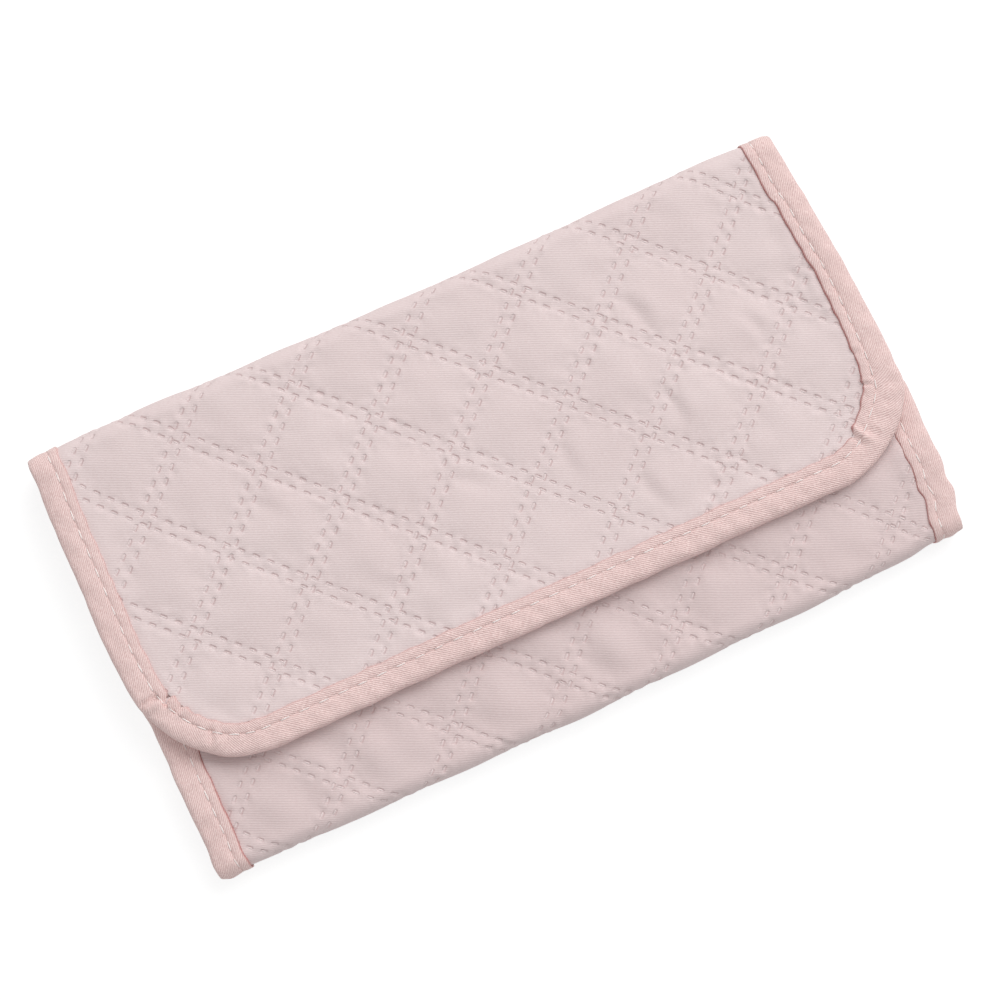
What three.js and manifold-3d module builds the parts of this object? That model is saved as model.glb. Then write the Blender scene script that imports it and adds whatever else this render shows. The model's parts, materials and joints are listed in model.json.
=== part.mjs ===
// A quilted fabric jewelry roll, closed and lying on its back panel. Millimetres, +Z up.
// X runs along the folds and +Y points to the top fold, from which the flap comes over the front.
import * as THREE from "three";
import { mergeGeometries, mergeVertices } from "three/addons/utils/BufferGeometryUtils.js";
import Module from "manifold-3d";

// Closed roll
const ROLL_WIDTH = 240; // along X, over the side bindings
const ROLL_DEPTH = 133; // along Y, from fold to fold
const FRONT_SHOWING = 27; // of the front panel, below the flap's free edge
const FLAP_CORNER = 29; // radius of the flap's two corners
const FLAP_LAP = 36; // how far the flap lies over the front panel
const FRONT_CORNER = 6; // radius of the front panel's two corners
const BAY = 2.2; // free height between the bound edges of the back and the front

// Padded sheet
const QUILT_PITCH = 25.2; // between neighbouring pairs of stitch rows, square to the rows
const ROW_PAIR_GAP = 3.2; // between the two rows of a pair
const CROSSING_FROM_FOLD = 12; // from a fold to the nearest line of crossings
const CROSSING_FROM_MIDDLE = -6; // along X, to the crossing nearest the middle of that line
const QUILT_CROWN = 2.6; // thickness at the middle of a diamond
const QUILT_CHANNEL = 1.4; // thickness along the stitch rows
const CROWN_PRESS = 0.5; // how far the back's crowns are pressed flat by what the roll lies on
const LINING = 0.4;
const GAP = 0.25; // between neighbouring layers and pieces
const FOLD_SOFTENING = 3.6; // cut off the outer edge of each fold

// Edge binding
const BINDING_WIDTH = 9.6; // seen on each face
const BINDING_TAPE = 0.6; // thickness of the folded tape
const BINDING_ROUND = 0.9; // rounding along the bound edge

// Hook and loop closure
const CLOSURE_LENGTH = 84; // along X
const CLOSURE_MARGIN = 1.6; // to the bindings on both sides
const HOOK_STRIP = 0.8;
const LOOP_STRIP = 0.8;
const STRIP_CORNER = 3;

// Pockets
const POCKET_SHEET = 0.5;
const POCKET_FROM_FOLD = 7; // from a fold to a pocket's sewn edge
const FRONT_POCKET_REACH = 47; // from the bottom fold to the front pocket's open edge
const HEM_WIDTH = 5;
const HEM_SHEET = 0.9;

// Zips
const ZIP_TAPE_WIDTH = 6; // on each side of the teeth
const ZIP_TAPE = 0.5;
const ZIP_FROM_BINDING = 6; // from a side binding to the zip's end
const ZIP_SPACING = 16; // along Y, between the two zips of the closed roll
const TOOTH_PITCH = 3.2;
const TOOTH_REACH = 2.2; // from the cord that carries a row of teeth
const TOOTH_CORD = 1.2;
const TOOTH_HEIGHT = 1.8;
const TOOTH_GAP = 0.3;
const STOP_LENGTH = 2.5;
const SLIDER_LENGTH = 10;
const SLIDER_WALL = 0.9;
const SLIDER_SHOULDER = 0.6; // how much wider the slider's front half is
const SLIDER_NOSE = 1; // length of the slider's tapered nose
const SLIDER_CLEAR = 1.5; // from the front panel's free edge to the slider
const BRIDGE_LENGTH = 6.8;
const BRIDGE_WIDTH = 1.8;
const BRIDGE_WIRE = 0.9;
const PULL_LENGTH = 18;
const PULL_WIDTH = 5;
const PULL_SHEET = 0.8;
const PULL_BAR = 1.2; // the end bar that the bridge holds
const PULL_EYE = 4; // length of the eye that the bridge passes through

// Ring bar and its press stud
const RING_BAR_FROM_BINDING = 4.15; // from the inside edge of a side binding to the bar's tab
const RING_BAR_WIDTH = 11;
const RING_BAR_FROM_FOLD = 26; // from the top fold to the bar's middle line
const RING_BAR_CLEAR = 1.8; // under the flap's pocket
const RING_BAR_END = 5; // length of each rounded end
const RING_TAB_LENGTH = 20;
const RING_TAB_WIDTH = 9;
const RING_TAB = 0.8;
const SNAP_RADIUS = 4.2; // of the stud's flange, the socket and the cap
const STUD_FLANGE = 0.6;
const STUD_HEAD = 1.6; // height over the flange
const STUD_HEAD_RADIUS = 1.9;
const STUD_NECK_RADIUS = 1.5;
const STUD_TIP_RADIUS = 1.3;
const SOCKET_WALL = 0.4; // over the stud's head
const SOCKET_RIM = 0.9; // height of the socket's upright rim
const SOCKET_TOP_RADIUS = 3.5;
const CAP_RISE = 0.9;
const CAP_RIM = 0.3; // height of the cap's upright rim
const CAP_SHOULDER_RADIUS = 3;

// Smoothness of round shapes
const DOME_RINGS = [1, 0.8, 0.5, 0]; // shares of a diamond's half diagonal, from its rim to its crown
const CORNER_STEPS = 5;
const SMALL_STEPS = 2;
const ROUND_STEPS = 20;
const END_STEPS = 3;
const RUNOUT = 20; // how far cutting bodies run past what they cut

// Panels, from their folds to their free edges
const flapReach = ROLL_DEPTH - FRONT_SHOWING;
const frontReach = FRONT_SHOWING + FLAP_LAP;

// Levels, from a panel's outer face inwards
const channelLevel = QUILT_CROWN - QUILT_CHANNEL;
const edgeLevel = Math.max(channelLevel, BINDING_TAPE + GAP);
const liningLevel = QUILT_CROWN + GAP;
const panelDepth = liningLevel + LINING;
const insideLevel = panelDepth + GAP;
const bindingDepth = insideLevel + BINDING_TAPE;

// Heights of the folded layers
const frontRise = 2 * bindingDepth + BAY;
const closureRise = GAP + LOOP_STRIP + GAP + HOOK_STRIP + GAP;
const flapRise = frontRise + closureRise + panelDepth;
const insideHalf = ROLL_WIDTH / 2 - BINDING_WIDTH - GAP;
const ringBarHalf = insideHalf - RING_BAR_FROM_BINDING - RING_TAB_LENGTH;

const wasm = await Module();
wasm.setup();

const fabric = (color, roughness = 0.8) => new THREE.MeshStandardMaterial({ color, roughness });
const metal = (color) => new THREE.MeshStandardMaterial({ color, roughness: 0.3, metalness: 1 });
const finish = {
  quilt: fabric(0xdfcdcc, 0.7),
  binding: fabric(0xe1c5c2, 0.65),
  lining: fabric(0xe6d3cf, 0.7),
  pocket: fabric(0xdfc6c3),
  closure: fabric(0xdcc3c0, 0.95),
  tape: fabric(0xd9b9b5, 0.85),
  teeth: new THREE.MeshStandardMaterial({ color: 0xe3c9c4, roughness: 0.45 }),
  metal: metal(0xdcb9a4),
};

// A closed solid from a geometry: corners are shared and a lathe's empty triangles at its poles go.
function solid(geometry) {
  const bare = new THREE.BufferGeometry();
  const source = geometry.index ? geometry.toNonIndexed() : geometry;
  bare.setAttribute("position", source.getAttribute("position"));
  const merged = mergeVertices(bare, 1e-4);
  const corners = merged.index.array;
  const kept = [];
  for (let i = 0; i < corners.length; i += 3) {
    const [a, b, c] = corners.slice(i, i + 3);
    if (a !== b && b !== c && c !== a) kept.push(a, b, c);
  }
  const vertProperties = merged.getAttribute("position").array;
  return new wasm.Manifold(new wasm.Mesh({ numProp: 3, vertProperties, triVerts: new Uint32Array(kept) }));
}

function piece(name, body, material) {
  const { vertProperties, triVerts } = body.getMesh();
  const geometry = new THREE.BufferGeometry();
  geometry.setAttribute("position", new THREE.BufferAttribute(vertProperties, 3));
  geometry.setIndex(new THREE.BufferAttribute(triVerts, 1));
  geometry.computeVertexNormals();
  const mesh = new THREE.Mesh(geometry, material);
  mesh.name = name;
  return mesh;
}

function extruded(shape, from, to, curveSegments = CORNER_STEPS) {
  const options = { depth: to - from, bevelEnabled: false, curveSegments };
  return solid(new THREE.ExtrudeGeometry(shape, options).translate(0, 0, from));
}

// An outline in (y, z), extruded along X.
function extrudedAlongX(shape, from, to) {
  const geometry = new THREE.ExtrudeGeometry(shape, { depth: to - from, bevelEnabled: false });
  const turn = new THREE.Matrix4().makeBasis(
    new THREE.Vector3(0, 1, 0),
    new THREE.Vector3(0, 0, 1),
    new THREE.Vector3(1, 0, 0),
  );
  return solid(geometry.applyMatrix4(turn).translate(from, 0, 0));
}

// A profile of [radius, height] points, turned about +Z.
function turned(profile, steps = ROUND_STEPS) {
  const points = profile.map(([radius, height]) => new THREE.Vector2(radius, height));
  return solid(new THREE.LatheGeometry(points, steps).rotateX(Math.PI / 2));
}

function rectangle(left, bottom, right, top, corner = 0) {
  const shape = new THREE.Shape();
  if (corner <= 0) {
    shape.moveTo(left, bottom).lineTo(right, bottom).lineTo(right, top).lineTo(left, top);
    return shape;
  }
  shape.absarc(right - corner, bottom + corner, corner, -Math.PI / 2, 0);
  shape.absarc(right - corner, top - corner, corner, 0, Math.PI / 2);
  shape.absarc(left + corner, top - corner, corner, Math.PI / 2, Math.PI);
  shape.absarc(left + corner, bottom + corner, corner, Math.PI, 1.5 * Math.PI);
  return shape;
}

// What lies past a fold line: the mitre behind it and the softened outer edge.
function foldCutter(panelY) {
  const meet = (FOLD_SOFTENING - GAP) / 2;
  const profile = [
    [-RUNOUT, -RUNOUT],
    [FOLD_SOFTENING + RUNOUT, -RUNOUT],
    [meet + GAP, meet],
    [RUNOUT + GAP, RUNOUT],
    [-RUNOUT, RUNOUT],
  ];
  const shape = new THREE.Shape(profile.map(([y, z]) => new THREE.Vector2(panelY(y), z)));
  return extrudedAlongX(shape, -ROLL_WIDTH, ROLL_WIDTH);
}

// One flat stretch of the padded sheet, in its own frame: x along the folds, y away from its first
// fold and z from its outer face inwards. Without a corner radius it ends in a second fold.
class Panel {
  constructor(length, crossingX, crossingY, corner = null) {
    this.length = length;
    this.crossingX = crossingX;
    this.crossingY = crossingY;
    this.corner = corner;
  }

  outline(inset) {
    const half = ROLL_WIDTH / 2 - inset;
    if (this.corner === null) return rectangle(-half, -RUNOUT, half, this.length + RUNOUT);
    const radius = Math.max(this.corner - inset, 0);
    const top = this.length - inset;
    const shape = new THREE.Shape().moveTo(-half, -RUNOUT).lineTo(half, -RUNOUT);
    if (radius === 0) return shape.lineTo(half, top).lineTo(-half, top);
    shape.absarc(half - radius, top - radius, radius, 0, Math.PI / 2);
    shape.absarc(-half + radius, top - radius, radius, Math.PI / 2, Math.PI);
    return shape;
  }

  slab(inset, from, to) {
    return extruded(this.outline(inset), from, to);
  }

  mitred(body) {
    const first = body.subtract(foldCutter((y) => y));
    return this.corner === null ? first.subtract(foldCutter((y) => this.length - y)) : first;
  }

  // Diamond crowns between the double stitch rows, each a four-sided dome.
  crowns(press) {
    const step = QUILT_PITCH / Math.SQRT2;
    const halfDiagonal = (QUILT_PITCH - ROW_PAIR_GAP) / Math.SQRT2;
    const rise = channelLevel + press;
    const domeRise = (share) => rise * (1 - share ** 3);
    const profile = [[0, -QUILT_CHANNEL / 2], [halfDiagonal, -QUILT_CHANNEL / 2]];
    for (const share of DOME_RINGS) profile.push([halfDiagonal * share, domeRise(share)]);
    const points = profile.map(([radius, height]) => new THREE.Vector2(radius, height));
    const dome = new THREE.LatheGeometry(points, 4).rotateX(-Math.PI / 2);
    const domes = [];
    const across = Math.ceil(ROLL_WIDTH / step);
    const along = Math.ceil((this.length + Math.abs(this.crossingY)) / step) + 1;
    for (let i = -across; i <= across; i++) {
      for (let j = -along; j <= along; j++) {
        const x = this.crossingX + i * step;
        const y = this.crossingY + j * step;
        const inside = Math.abs(x) < ROLL_WIDTH / 2 && y > -step && y < this.length + step;
        if ((i + j) % 2 !== 0 && inside) domes.push(dome.clone().translate(x, y, channelLevel));
      }
    }
    return solid(mergeGeometries(domes)).intersect(this.slab(BINDING_WIDTH + GAP, 0, QUILT_CROWN));
  }

  quilt(press = 0) {
    const edge = this.slab(BINDING_TAPE + GAP, edgeLevel, QUILT_CROWN);
    const field = this.slab(BINDING_WIDTH + GAP, channelLevel, QUILT_CROWN);
    return this.mitred(edge.add(field).add(this.crowns(press)));
  }

  lining() {
    return this.mitred(this.slab(BINDING_TAPE + GAP, liningLevel, panelDepth));
  }

  // Tape folded over the edge: a channel that holds the quilt and the lining.
  binding() {
    const options = {
      depth: bindingDepth - 2 * BINDING_ROUND,
      bevelThickness: BINDING_ROUND,
      bevelSize: BINDING_ROUND,
      bevelOffset: -BINDING_ROUND,
      bevelSegments: 2,
      curveSegments: CORNER_STEPS,
    };
    const body = solid(new THREE.ExtrudeGeometry(this.outline(0), options).translate(0, 0, BINDING_ROUND));
    const channel = this.slab(BINDING_TAPE, BINDING_TAPE, bindingDepth - BINDING_TAPE);
    const window = this.slab(BINDING_WIDTH, -RUNOUT, RUNOUT);
    return this.mitred(body.subtract(channel).subtract(window));
  }

  bindingHalf(side) {
    const edge = side * ROLL_WIDTH;
    const half = rectangle(Math.min(0, edge), -RUNOUT, Math.max(0, edge), this.length + RUNOUT);
    return this.binding().intersect(extruded(half, -RUNOUT, RUNOUT));
  }
}

// Zip sizes, in a panel's frame
const toothWidth = TOOTH_PITCH / 2 - TOOTH_GAP;
const chainHalf = TOOTH_CORD + (TOOTH_REACH + TOOTH_GAP) / 2;
const zipHalf = insideHalf - ZIP_FROM_BINDING;
const chainTop = insideLevel + TOOTH_HEIGHT;
const sliderTop = chainTop + GAP + SLIDER_WALL;
const sliderHalf = chainHalf + GAP + SLIDER_WALL + SLIDER_SHOULDER;
const sliderX = zipHalf - STOP_LENGTH - GAP - SLIDER_LENGTH / 2;
const backZipY = frontReach + SLIDER_CLEAR + sliderHalf;
const flapZipY = ROLL_DEPTH - backZipY - ZIP_SPACING;

// One row of teeth on its cord. Turned half round it meshes with itself.
function toothRow(zipY) {
  const count = Math.floor((2 * (zipHalf - STOP_LENGTH - GAP)) / TOOTH_PITCH);
  const start = (-count / 2) * TOOTH_PITCH;
  const cordEdge = -chainHalf + TOOTH_CORD;
  const shape = new THREE.Shape().moveTo(-start, cordEdge).lineTo(-start, -chainHalf);
  shape.lineTo(start, -chainHalf).lineTo(start, cordEdge);
  for (let i = 0; i < count; i++) {
    const middle = start + (i + 0.25) * TOOTH_PITCH;
    const left = middle - toothWidth / 2;
    const right = middle + toothWidth / 2;
    shape.lineTo(left, cordEdge).lineTo(left, cordEdge + TOOTH_REACH);
    shape.lineTo(right, cordEdge + TOOTH_REACH).lineTo(right, cordEdge);
  }
  return (turn) => {
    const row = extruded(shape, insideLevel, chainTop).rotate([0, 0, turn]);
    return row.translate([0, zipY, 0]);
  };
}

// The slider straddles the teeth; its bridge holds the pull.
function slider(zipY) {
  const tail = sliderHalf - SLIDER_SHOULDER;
  const half = SLIDER_LENGTH / 2;
  const shoulder = half - SLIDER_NOSE;
  const outline = new THREE.Shape().moveTo(-half, -tail).lineTo(0, -tail).lineTo(shoulder, -sliderHalf);
  outline.lineTo(half, -tail).lineTo(half, tail);
  outline.lineTo(shoulder, sliderHalf).lineTo(0, tail).lineTo(-half, tail);
  const shell = extruded(outline, insideLevel + ZIP_TAPE + GAP, sliderTop);
  const channel = rectangle(-SLIDER_LENGTH, -chainHalf - GAP, SLIDER_LENGTH, chainHalf + GAP);
  const arch = new THREE.Shape();
  const span = BRIDGE_LENGTH / 2;
  const eyeSpan = span - BRIDGE_WIRE;
  const eyeRise = PULL_SHEET + 2 * GAP;
  const sunk = SLIDER_WALL / 2;
  arch.moveTo(-span, -sunk).lineTo(-eyeSpan, -sunk).lineTo(-eyeSpan, 0);
  arch.absellipse(0, 0, eyeSpan, eyeRise, Math.PI, 0, true);
  arch.lineTo(eyeSpan, -sunk).lineTo(span, -sunk).lineTo(span, 0);
  arch.absellipse(0, 0, span, eyeRise + BRIDGE_WIRE, 0, Math.PI, false);
  const bridge = extruded(arch, -BRIDGE_WIDTH / 2, BRIDGE_WIDTH / 2).rotate([90, 0, 0]);
  const body = shell.subtract(extruded(channel, -RUNOUT, chainTop + GAP));
  return body.add(bridge.translate([0, 0, sliderTop])).translate([sliderX, zipY, 0]);
}

function pull(zipY) {
  const level = sliderTop + GAP;
  const start = -PULL_BAR / 2;
  const shape = rectangle(start, -PULL_WIDTH / 2, start + PULL_LENGTH, PULL_WIDTH / 2, PULL_BAR);
  const eyeHalf = BRIDGE_WIDTH / 2 + 2 * GAP;
  shape.holes.push(rectangle(PULL_BAR / 2, -eyeHalf, PULL_BAR / 2 + PULL_EYE, eyeHalf));
  return extruded(shape, level, level + PULL_SHEET, SMALL_STEPS).translate([sliderX, zipY, 0]);
}

// A flat pocket that a zip closes, sewn between the fold and the zip.
function zipPocket(name, zipY) {
  const pocketEdge = zipY - chainHalf - ZIP_TAPE_WIDTH - 2 * GAP;
  const tape = (from) => rectangle(-zipHalf, from, zipHalf, from + ZIP_TAPE_WIDTH);
  const stop = (side) => {
    const middle = side * (zipHalf - STOP_LENGTH / 2);
    const half = STOP_LENGTH / 2;
    const shape = rectangle(middle - half, zipY - chainHalf, middle + half, zipY + chainHalf, half / 2);
    return extruded(shape, insideLevel, chainTop, SMALL_STEPS);
  };
  const tapeLevels = [insideLevel, insideLevel + ZIP_TAPE];
  const sheet = rectangle(-insideHalf, POCKET_FROM_FOLD, insideHalf, pocketEdge);
  const row = toothRow(zipY);
  return [
    piece(`${name}_pocket`, extruded(sheet, insideLevel, insideLevel + POCKET_SHEET), finish.pocket),
    piece(`${name}_zip_tape_inner`, extruded(tape(pocketEdge + GAP), ...tapeLevels), finish.tape),
    piece(`${name}_zip_tape_outer`, extruded(tape(zipY + chainHalf + GAP), ...tapeLevels), finish.tape),
    piece(`${name}_zip_teeth_inner`, row(0), finish.teeth),
    piece(`${name}_zip_teeth_outer`, row(180), finish.teeth),
    piece(`${name}_zip_stop_left`, stop(-1), finish.metal),
    piece(`${name}_zip_stop_right`, stop(1), finish.metal),
    piece(`${name}_zip_slider`, slider(zipY), finish.metal),
    piece(`${name}_zip_pull`, pull(zipY), finish.metal),
  ];
}

// A padded bar that rings are threaded on, sewn down at its left end and snapped down at its right.
function ringBar() {
  const y = ROLL_DEPTH - RING_BAR_FROM_FOLD;
  const ceiling = flapRise - insideLevel - POCKET_SHEET;
  const height = ceiling - RING_BAR_CLEAR - insideLevel;
  const radius = RING_BAR_WIDTH / 2;
  const profile = [[0, -ringBarHalf]];
  for (let i = 1; i <= END_STEPS; i++) {
    const angle = (i / END_STEPS) * (Math.PI / 2);
    profile.push([radius * Math.sin(angle), -ringBarHalf + RING_BAR_END * (1 - Math.cos(angle))]);
  }
  for (const [r, x] of profile.slice().reverse()) profile.push([r, -x]);
  const points = profile.map(([r, x]) => new THREE.Vector2(r, x));
  const bar = new THREE.LatheGeometry(points, ROUND_STEPS).rotateZ(-Math.PI / 2);
  bar.scale(1, 1, height / RING_BAR_WIDTH).translate(0, y, insideLevel + height / 2);

  const tabHalf = RING_TAB_WIDTH / 2;
  const socketLevel = insideLevel + STUD_FLANGE + GAP;
  const socketRise = STUD_HEAD + SOCKET_WALL;
  const tabLevel = socketLevel + socketRise + GAP;
  const capLevel = tabLevel + RING_TAB + GAP;
  const snapX = ringBarHalf + RING_TAB_LENGTH - tabHalf;
  const sewnEnd = -ringBarHalf + 2 * RING_BAR_END;
  const sewnTab = rectangle(-ringBarHalf - RING_TAB_LENGTH, y - tabHalf, sewnEnd, y + tabHalf);
  const snapEnd = ringBarHalf + RING_TAB_LENGTH;
  const snapTab = rectangle(ringBarHalf - RING_BAR_END, y - tabHalf, snapEnd, y + tabHalf, tabHalf / 2);
  const body = solid(bar)
    .add(extruded(sewnTab, insideLevel, insideLevel + RING_TAB))
    .add(extruded(snapTab, tabLevel, tabLevel + RING_TAB, SMALL_STEPS));

  const bore = STUD_HEAD_RADIUS + GAP;
  const stud = [
    [0, 0],
    [SNAP_RADIUS, 0],
    [SNAP_RADIUS, STUD_FLANGE],
    [STUD_NECK_RADIUS, STUD_FLANGE],
    [STUD_HEAD_RADIUS, STUD_FLANGE + STUD_HEAD / 2],
    [STUD_TIP_RADIUS, STUD_FLANGE + STUD_HEAD],
    [0, STUD_FLANGE + STUD_HEAD],
  ];
  const socket = [
    [0, STUD_HEAD],
    [bore, STUD_HEAD],
    [bore, 0],
    [SNAP_RADIUS, 0],
    [SNAP_RADIUS, SOCKET_RIM],
    [SOCKET_TOP_RADIUS, socketRise],
    [0, socketRise],
  ];
  const cap = [
    [0, 0],
    [SNAP_RADIUS, 0],
    [SNAP_RADIUS, CAP_RIM],
    [CAP_SHOULDER_RADIUS, (CAP_RIM + CAP_RISE) / 2],
    [0, CAP_RISE],
  ];
  const at = (profilePoints, level) => turned(profilePoints).translate([snapX, y, level]);
  return [
    piece("ring_bar", body, finish.pocket),
    piece("ring_snap_stud", at(stud, insideLevel), finish.metal),
    piece("ring_snap_socket", at(socket, socketLevel), finish.metal),
    piece("ring_snap_cap", at(cap, capLevel), finish.metal),
  ];
}

function frontPocket() {
  const sheet = rectangle(-insideHalf, POCKET_FROM_FOLD, insideHalf, FRONT_POCKET_REACH);
  const hem = rectangle(-insideHalf, FRONT_POCKET_REACH - HEM_WIDTH, insideHalf, FRONT_POCKET_REACH);
  const body = extruded(sheet, insideLevel, insideLevel + POCKET_SHEET);
  return body.add(extruded(hem, insideLevel, insideLevel + HEM_SHEET));
}

// The closure strips share the band between the flap's binding and the front's binding.
function closureStrip(middleY, from, to) {
  const half = FLAP_LAP / 2 - BINDING_WIDTH - CLOSURE_MARGIN;
  const end = CLOSURE_LENGTH / 2;
  const strip = rectangle(-end, middleY - half, end, middleY + half, STRIP_CORNER);
  return extruded(strip, from, to, SMALL_STEPS);
}

// Each fold's crossings carry on from the panel that shows.
const back = new Panel(ROLL_DEPTH, CROSSING_FROM_MIDDLE, ROLL_DEPTH + flapRise + CROSSING_FROM_FOLD);
const topFold = new Panel(flapRise, CROSSING_FROM_MIDDLE, flapRise + CROSSING_FROM_FOLD);
const flap = new Panel(flapReach, CROSSING_FROM_MIDDLE, CROSSING_FROM_FOLD, FLAP_CORNER);
const bottomFold = new Panel(frontRise, -CROSSING_FROM_MIDDLE, frontRise + CROSSING_FROM_FOLD);
const front = new Panel(frontReach, -CROSSING_FROM_MIDDLE, CROSSING_FROM_FOLD, FRONT_CORNER);

function padding(name, panel, press) {
  return [
    piece(`${name}_quilt`, panel.quilt(press), finish.quilt),
    piece(`${name}_lining`, panel.lining(), finish.lining),
  ];
}

// A panel between two folds has a binding on each side; left is towards -X of its own frame.
function sideBindings(name, panel, left = "left", right = "right") {
  return [
    piece(`${name}_binding_${left}`, panel.bindingHalf(-1), finish.binding),
    piece(`${name}_binding_${right}`, panel.bindingHalf(1), finish.binding),
  ];
}

function turnedGroup(pieces, turn) {
  const group = new THREE.Group();
  group.rotation.x = turn;
  group.add(...pieces);
  return group;
}

const closureY = FRONT_SHOWING + FLAP_LAP / 2;
const hookStrip = closureStrip(ROLL_DEPTH - closureY, insideLevel, insideLevel + HOOK_STRIP);
const loopStrip = closureStrip(closureY, -GAP - LOOP_STRIP, -GAP);

const backPieces = [
  ...padding("back", back, CROWN_PRESS),
  ...sideBindings("back", back),
  ...zipPocket("back", backZipY),
  ...ringBar(),
];
const backGroup = turnedGroup(backPieces, 0);
backGroup.position.set(0, -ROLL_DEPTH / 2, 0);

const topFoldPieces = [...padding("top_fold", topFold), ...sideBindings("top_fold", topFold)];
const topFoldGroup = turnedGroup(topFoldPieces, Math.PI / 2);
topFoldGroup.position.set(0, ROLL_DEPTH / 2, 0);

const flapPieces = [
  ...padding("flap", flap),
  piece("flap_binding", flap.binding(), finish.binding),
  piece("closure_hook_strip", hookStrip, finish.closure),
  ...zipPocket("flap", flapZipY),
];
const flapGroup = turnedGroup(flapPieces, Math.PI);
flapGroup.position.set(0, ROLL_DEPTH / 2, flapRise);

const bottomFoldPieces = [
  ...padding("bottom_fold", bottomFold),
  ...sideBindings("bottom_fold", bottomFold, "right", "left"),
];
const bottomFoldGroup = turnedGroup(bottomFoldPieces, Math.PI / 2);

const frontPieces = [
  ...padding("front", front),
  piece("front_binding", front.binding(), finish.binding),
  piece("front_pocket", frontPocket(), finish.pocket),
  piece("closure_loop_strip", loopStrip, finish.closure),
];
const frontGroup = turnedGroup(frontPieces, Math.PI);
frontGroup.position.set(0, 0, frontRise);

// The front comes up from the bottom fold, facing the other way.
const frontSide = new THREE.Group();
frontSide.rotation.z = Math.PI;
frontSide.position.set(0, -ROLL_DEPTH / 2, 0);
frontSide.add(bottomFoldGroup, frontGroup);

const jewelryRoll = new THREE.Group();
jewelryRoll.name = "jewelry_roll";
jewelryRoll.add(backGroup, topFoldGroup, flapGroup, frontSide);

export default jewelryRoll;
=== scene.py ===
"""Looks of a quilted fabric jewelry roll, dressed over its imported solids.

Shapes are worked out in millimetres and become metres when a mesh is made.
The padded sheet is described by (u, t, depth): u along the folds, t along the folded sheet from the
flap's free edge to the front's free edge, and depth from the outer face inwards.
"""

import json
import logging
import math
from dataclasses import dataclass, field
from enum import Enum
from typing import Callable, Sequence

import bmesh
import bpy
import numpy as np
from mathutils import Matrix, Vector

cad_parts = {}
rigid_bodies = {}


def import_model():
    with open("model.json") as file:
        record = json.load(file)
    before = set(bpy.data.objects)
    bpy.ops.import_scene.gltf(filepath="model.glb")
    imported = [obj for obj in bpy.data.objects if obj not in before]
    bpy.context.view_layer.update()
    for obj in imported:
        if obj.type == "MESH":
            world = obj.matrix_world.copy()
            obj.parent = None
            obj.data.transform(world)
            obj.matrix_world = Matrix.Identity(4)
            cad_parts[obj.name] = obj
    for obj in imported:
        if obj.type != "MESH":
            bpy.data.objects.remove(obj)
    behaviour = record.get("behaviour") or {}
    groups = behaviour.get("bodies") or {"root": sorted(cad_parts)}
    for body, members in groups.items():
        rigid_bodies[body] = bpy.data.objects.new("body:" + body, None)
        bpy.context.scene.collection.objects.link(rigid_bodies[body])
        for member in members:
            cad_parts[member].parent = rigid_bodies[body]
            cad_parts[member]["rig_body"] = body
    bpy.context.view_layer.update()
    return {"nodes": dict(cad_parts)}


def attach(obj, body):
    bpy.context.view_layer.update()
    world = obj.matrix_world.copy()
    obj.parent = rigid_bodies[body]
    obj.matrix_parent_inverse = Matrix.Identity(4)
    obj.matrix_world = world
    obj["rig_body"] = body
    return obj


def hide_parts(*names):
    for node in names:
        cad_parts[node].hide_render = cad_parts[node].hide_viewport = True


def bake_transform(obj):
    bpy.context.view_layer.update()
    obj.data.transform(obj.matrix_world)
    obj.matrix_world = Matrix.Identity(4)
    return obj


LOG = logging.getLogger("jewelry_roll")
MM = 0.001
Points = np.ndarray
Piece = bpy.types.Object
Material = bpy.types.Material
Socket = bpy.types.NodeSocket
Colour = tuple[int, int, int]
Pair = tuple[float, float]
Triple = tuple[float, float, float]


class Body(str, Enum):
    """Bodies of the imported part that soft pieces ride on."""

    BACK = "back"
    TOP_FOLD = "top_fold"
    FLAP = "flap"
    BOTTOM_FOLD = "bottom_fold"
    FRONT = "front"

    def carry(self, piece: Piece) -> None:
        """Lets a piece ride on the body."""
        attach(piece, self.value)

    @property
    def lining(self) -> str:
        """Name of the lining that lies over the body's panel."""
        return "lining_back_upper" if self is Body.BACK else f"lining_{self.value}"


class Slot(str, Enum):
    """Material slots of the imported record."""

    QUILT = "quilt"
    BINDING = "binding"
    LINING = "lining"
    POCKET = "pocket"
    CLOSURE = "closure"
    ZIP_TAPE = "zip_tape"
    ZIP_TEETH = "zip_teeth"
    METAL = "metal"


def smooth(x: Points) -> Points:
    """A smooth step from 0 to 1."""
    x = np.clip(x, 0.0, 1.0)
    return x * x * (3.0 - 2.0 * x)


def bump(x: Points, middle: float, width: float) -> Points:
    """A soft bell of height 1 about a middle."""
    return np.exp(-(((x - middle) / width) ** 2))


def bells(x: Points, table: Sequence[Triple]) -> Points:
    """A sum of soft bells, each with its height, middle and width."""
    return sum(height * bump(x, middle, width) for height, middle, width in table)


def lengths_along(line: Points) -> Points:
    """Distance along a line of each of its points from the first."""
    return np.concatenate([[0.0], np.cumsum(np.linalg.norm(np.diff(line, axis=0), axis=1))])


def points_along(line: Points, along: Points, at: Points) -> Points:
    """Points at some distances along a line, of whose own points the distances are given."""
    return np.stack([np.interp(at, along, line[:, k]) for k in range(line.shape[1])], axis=-1)


def with_close_ends(line: Points, gap: float = 0.03) -> Points:
    """Places along a stretch with one more just inside each end, which keeps cut ends crisp."""
    return np.concatenate([line[:1], line[:1] + gap, line[1:-1], line[-1:] - gap, line[-1:]])


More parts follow.
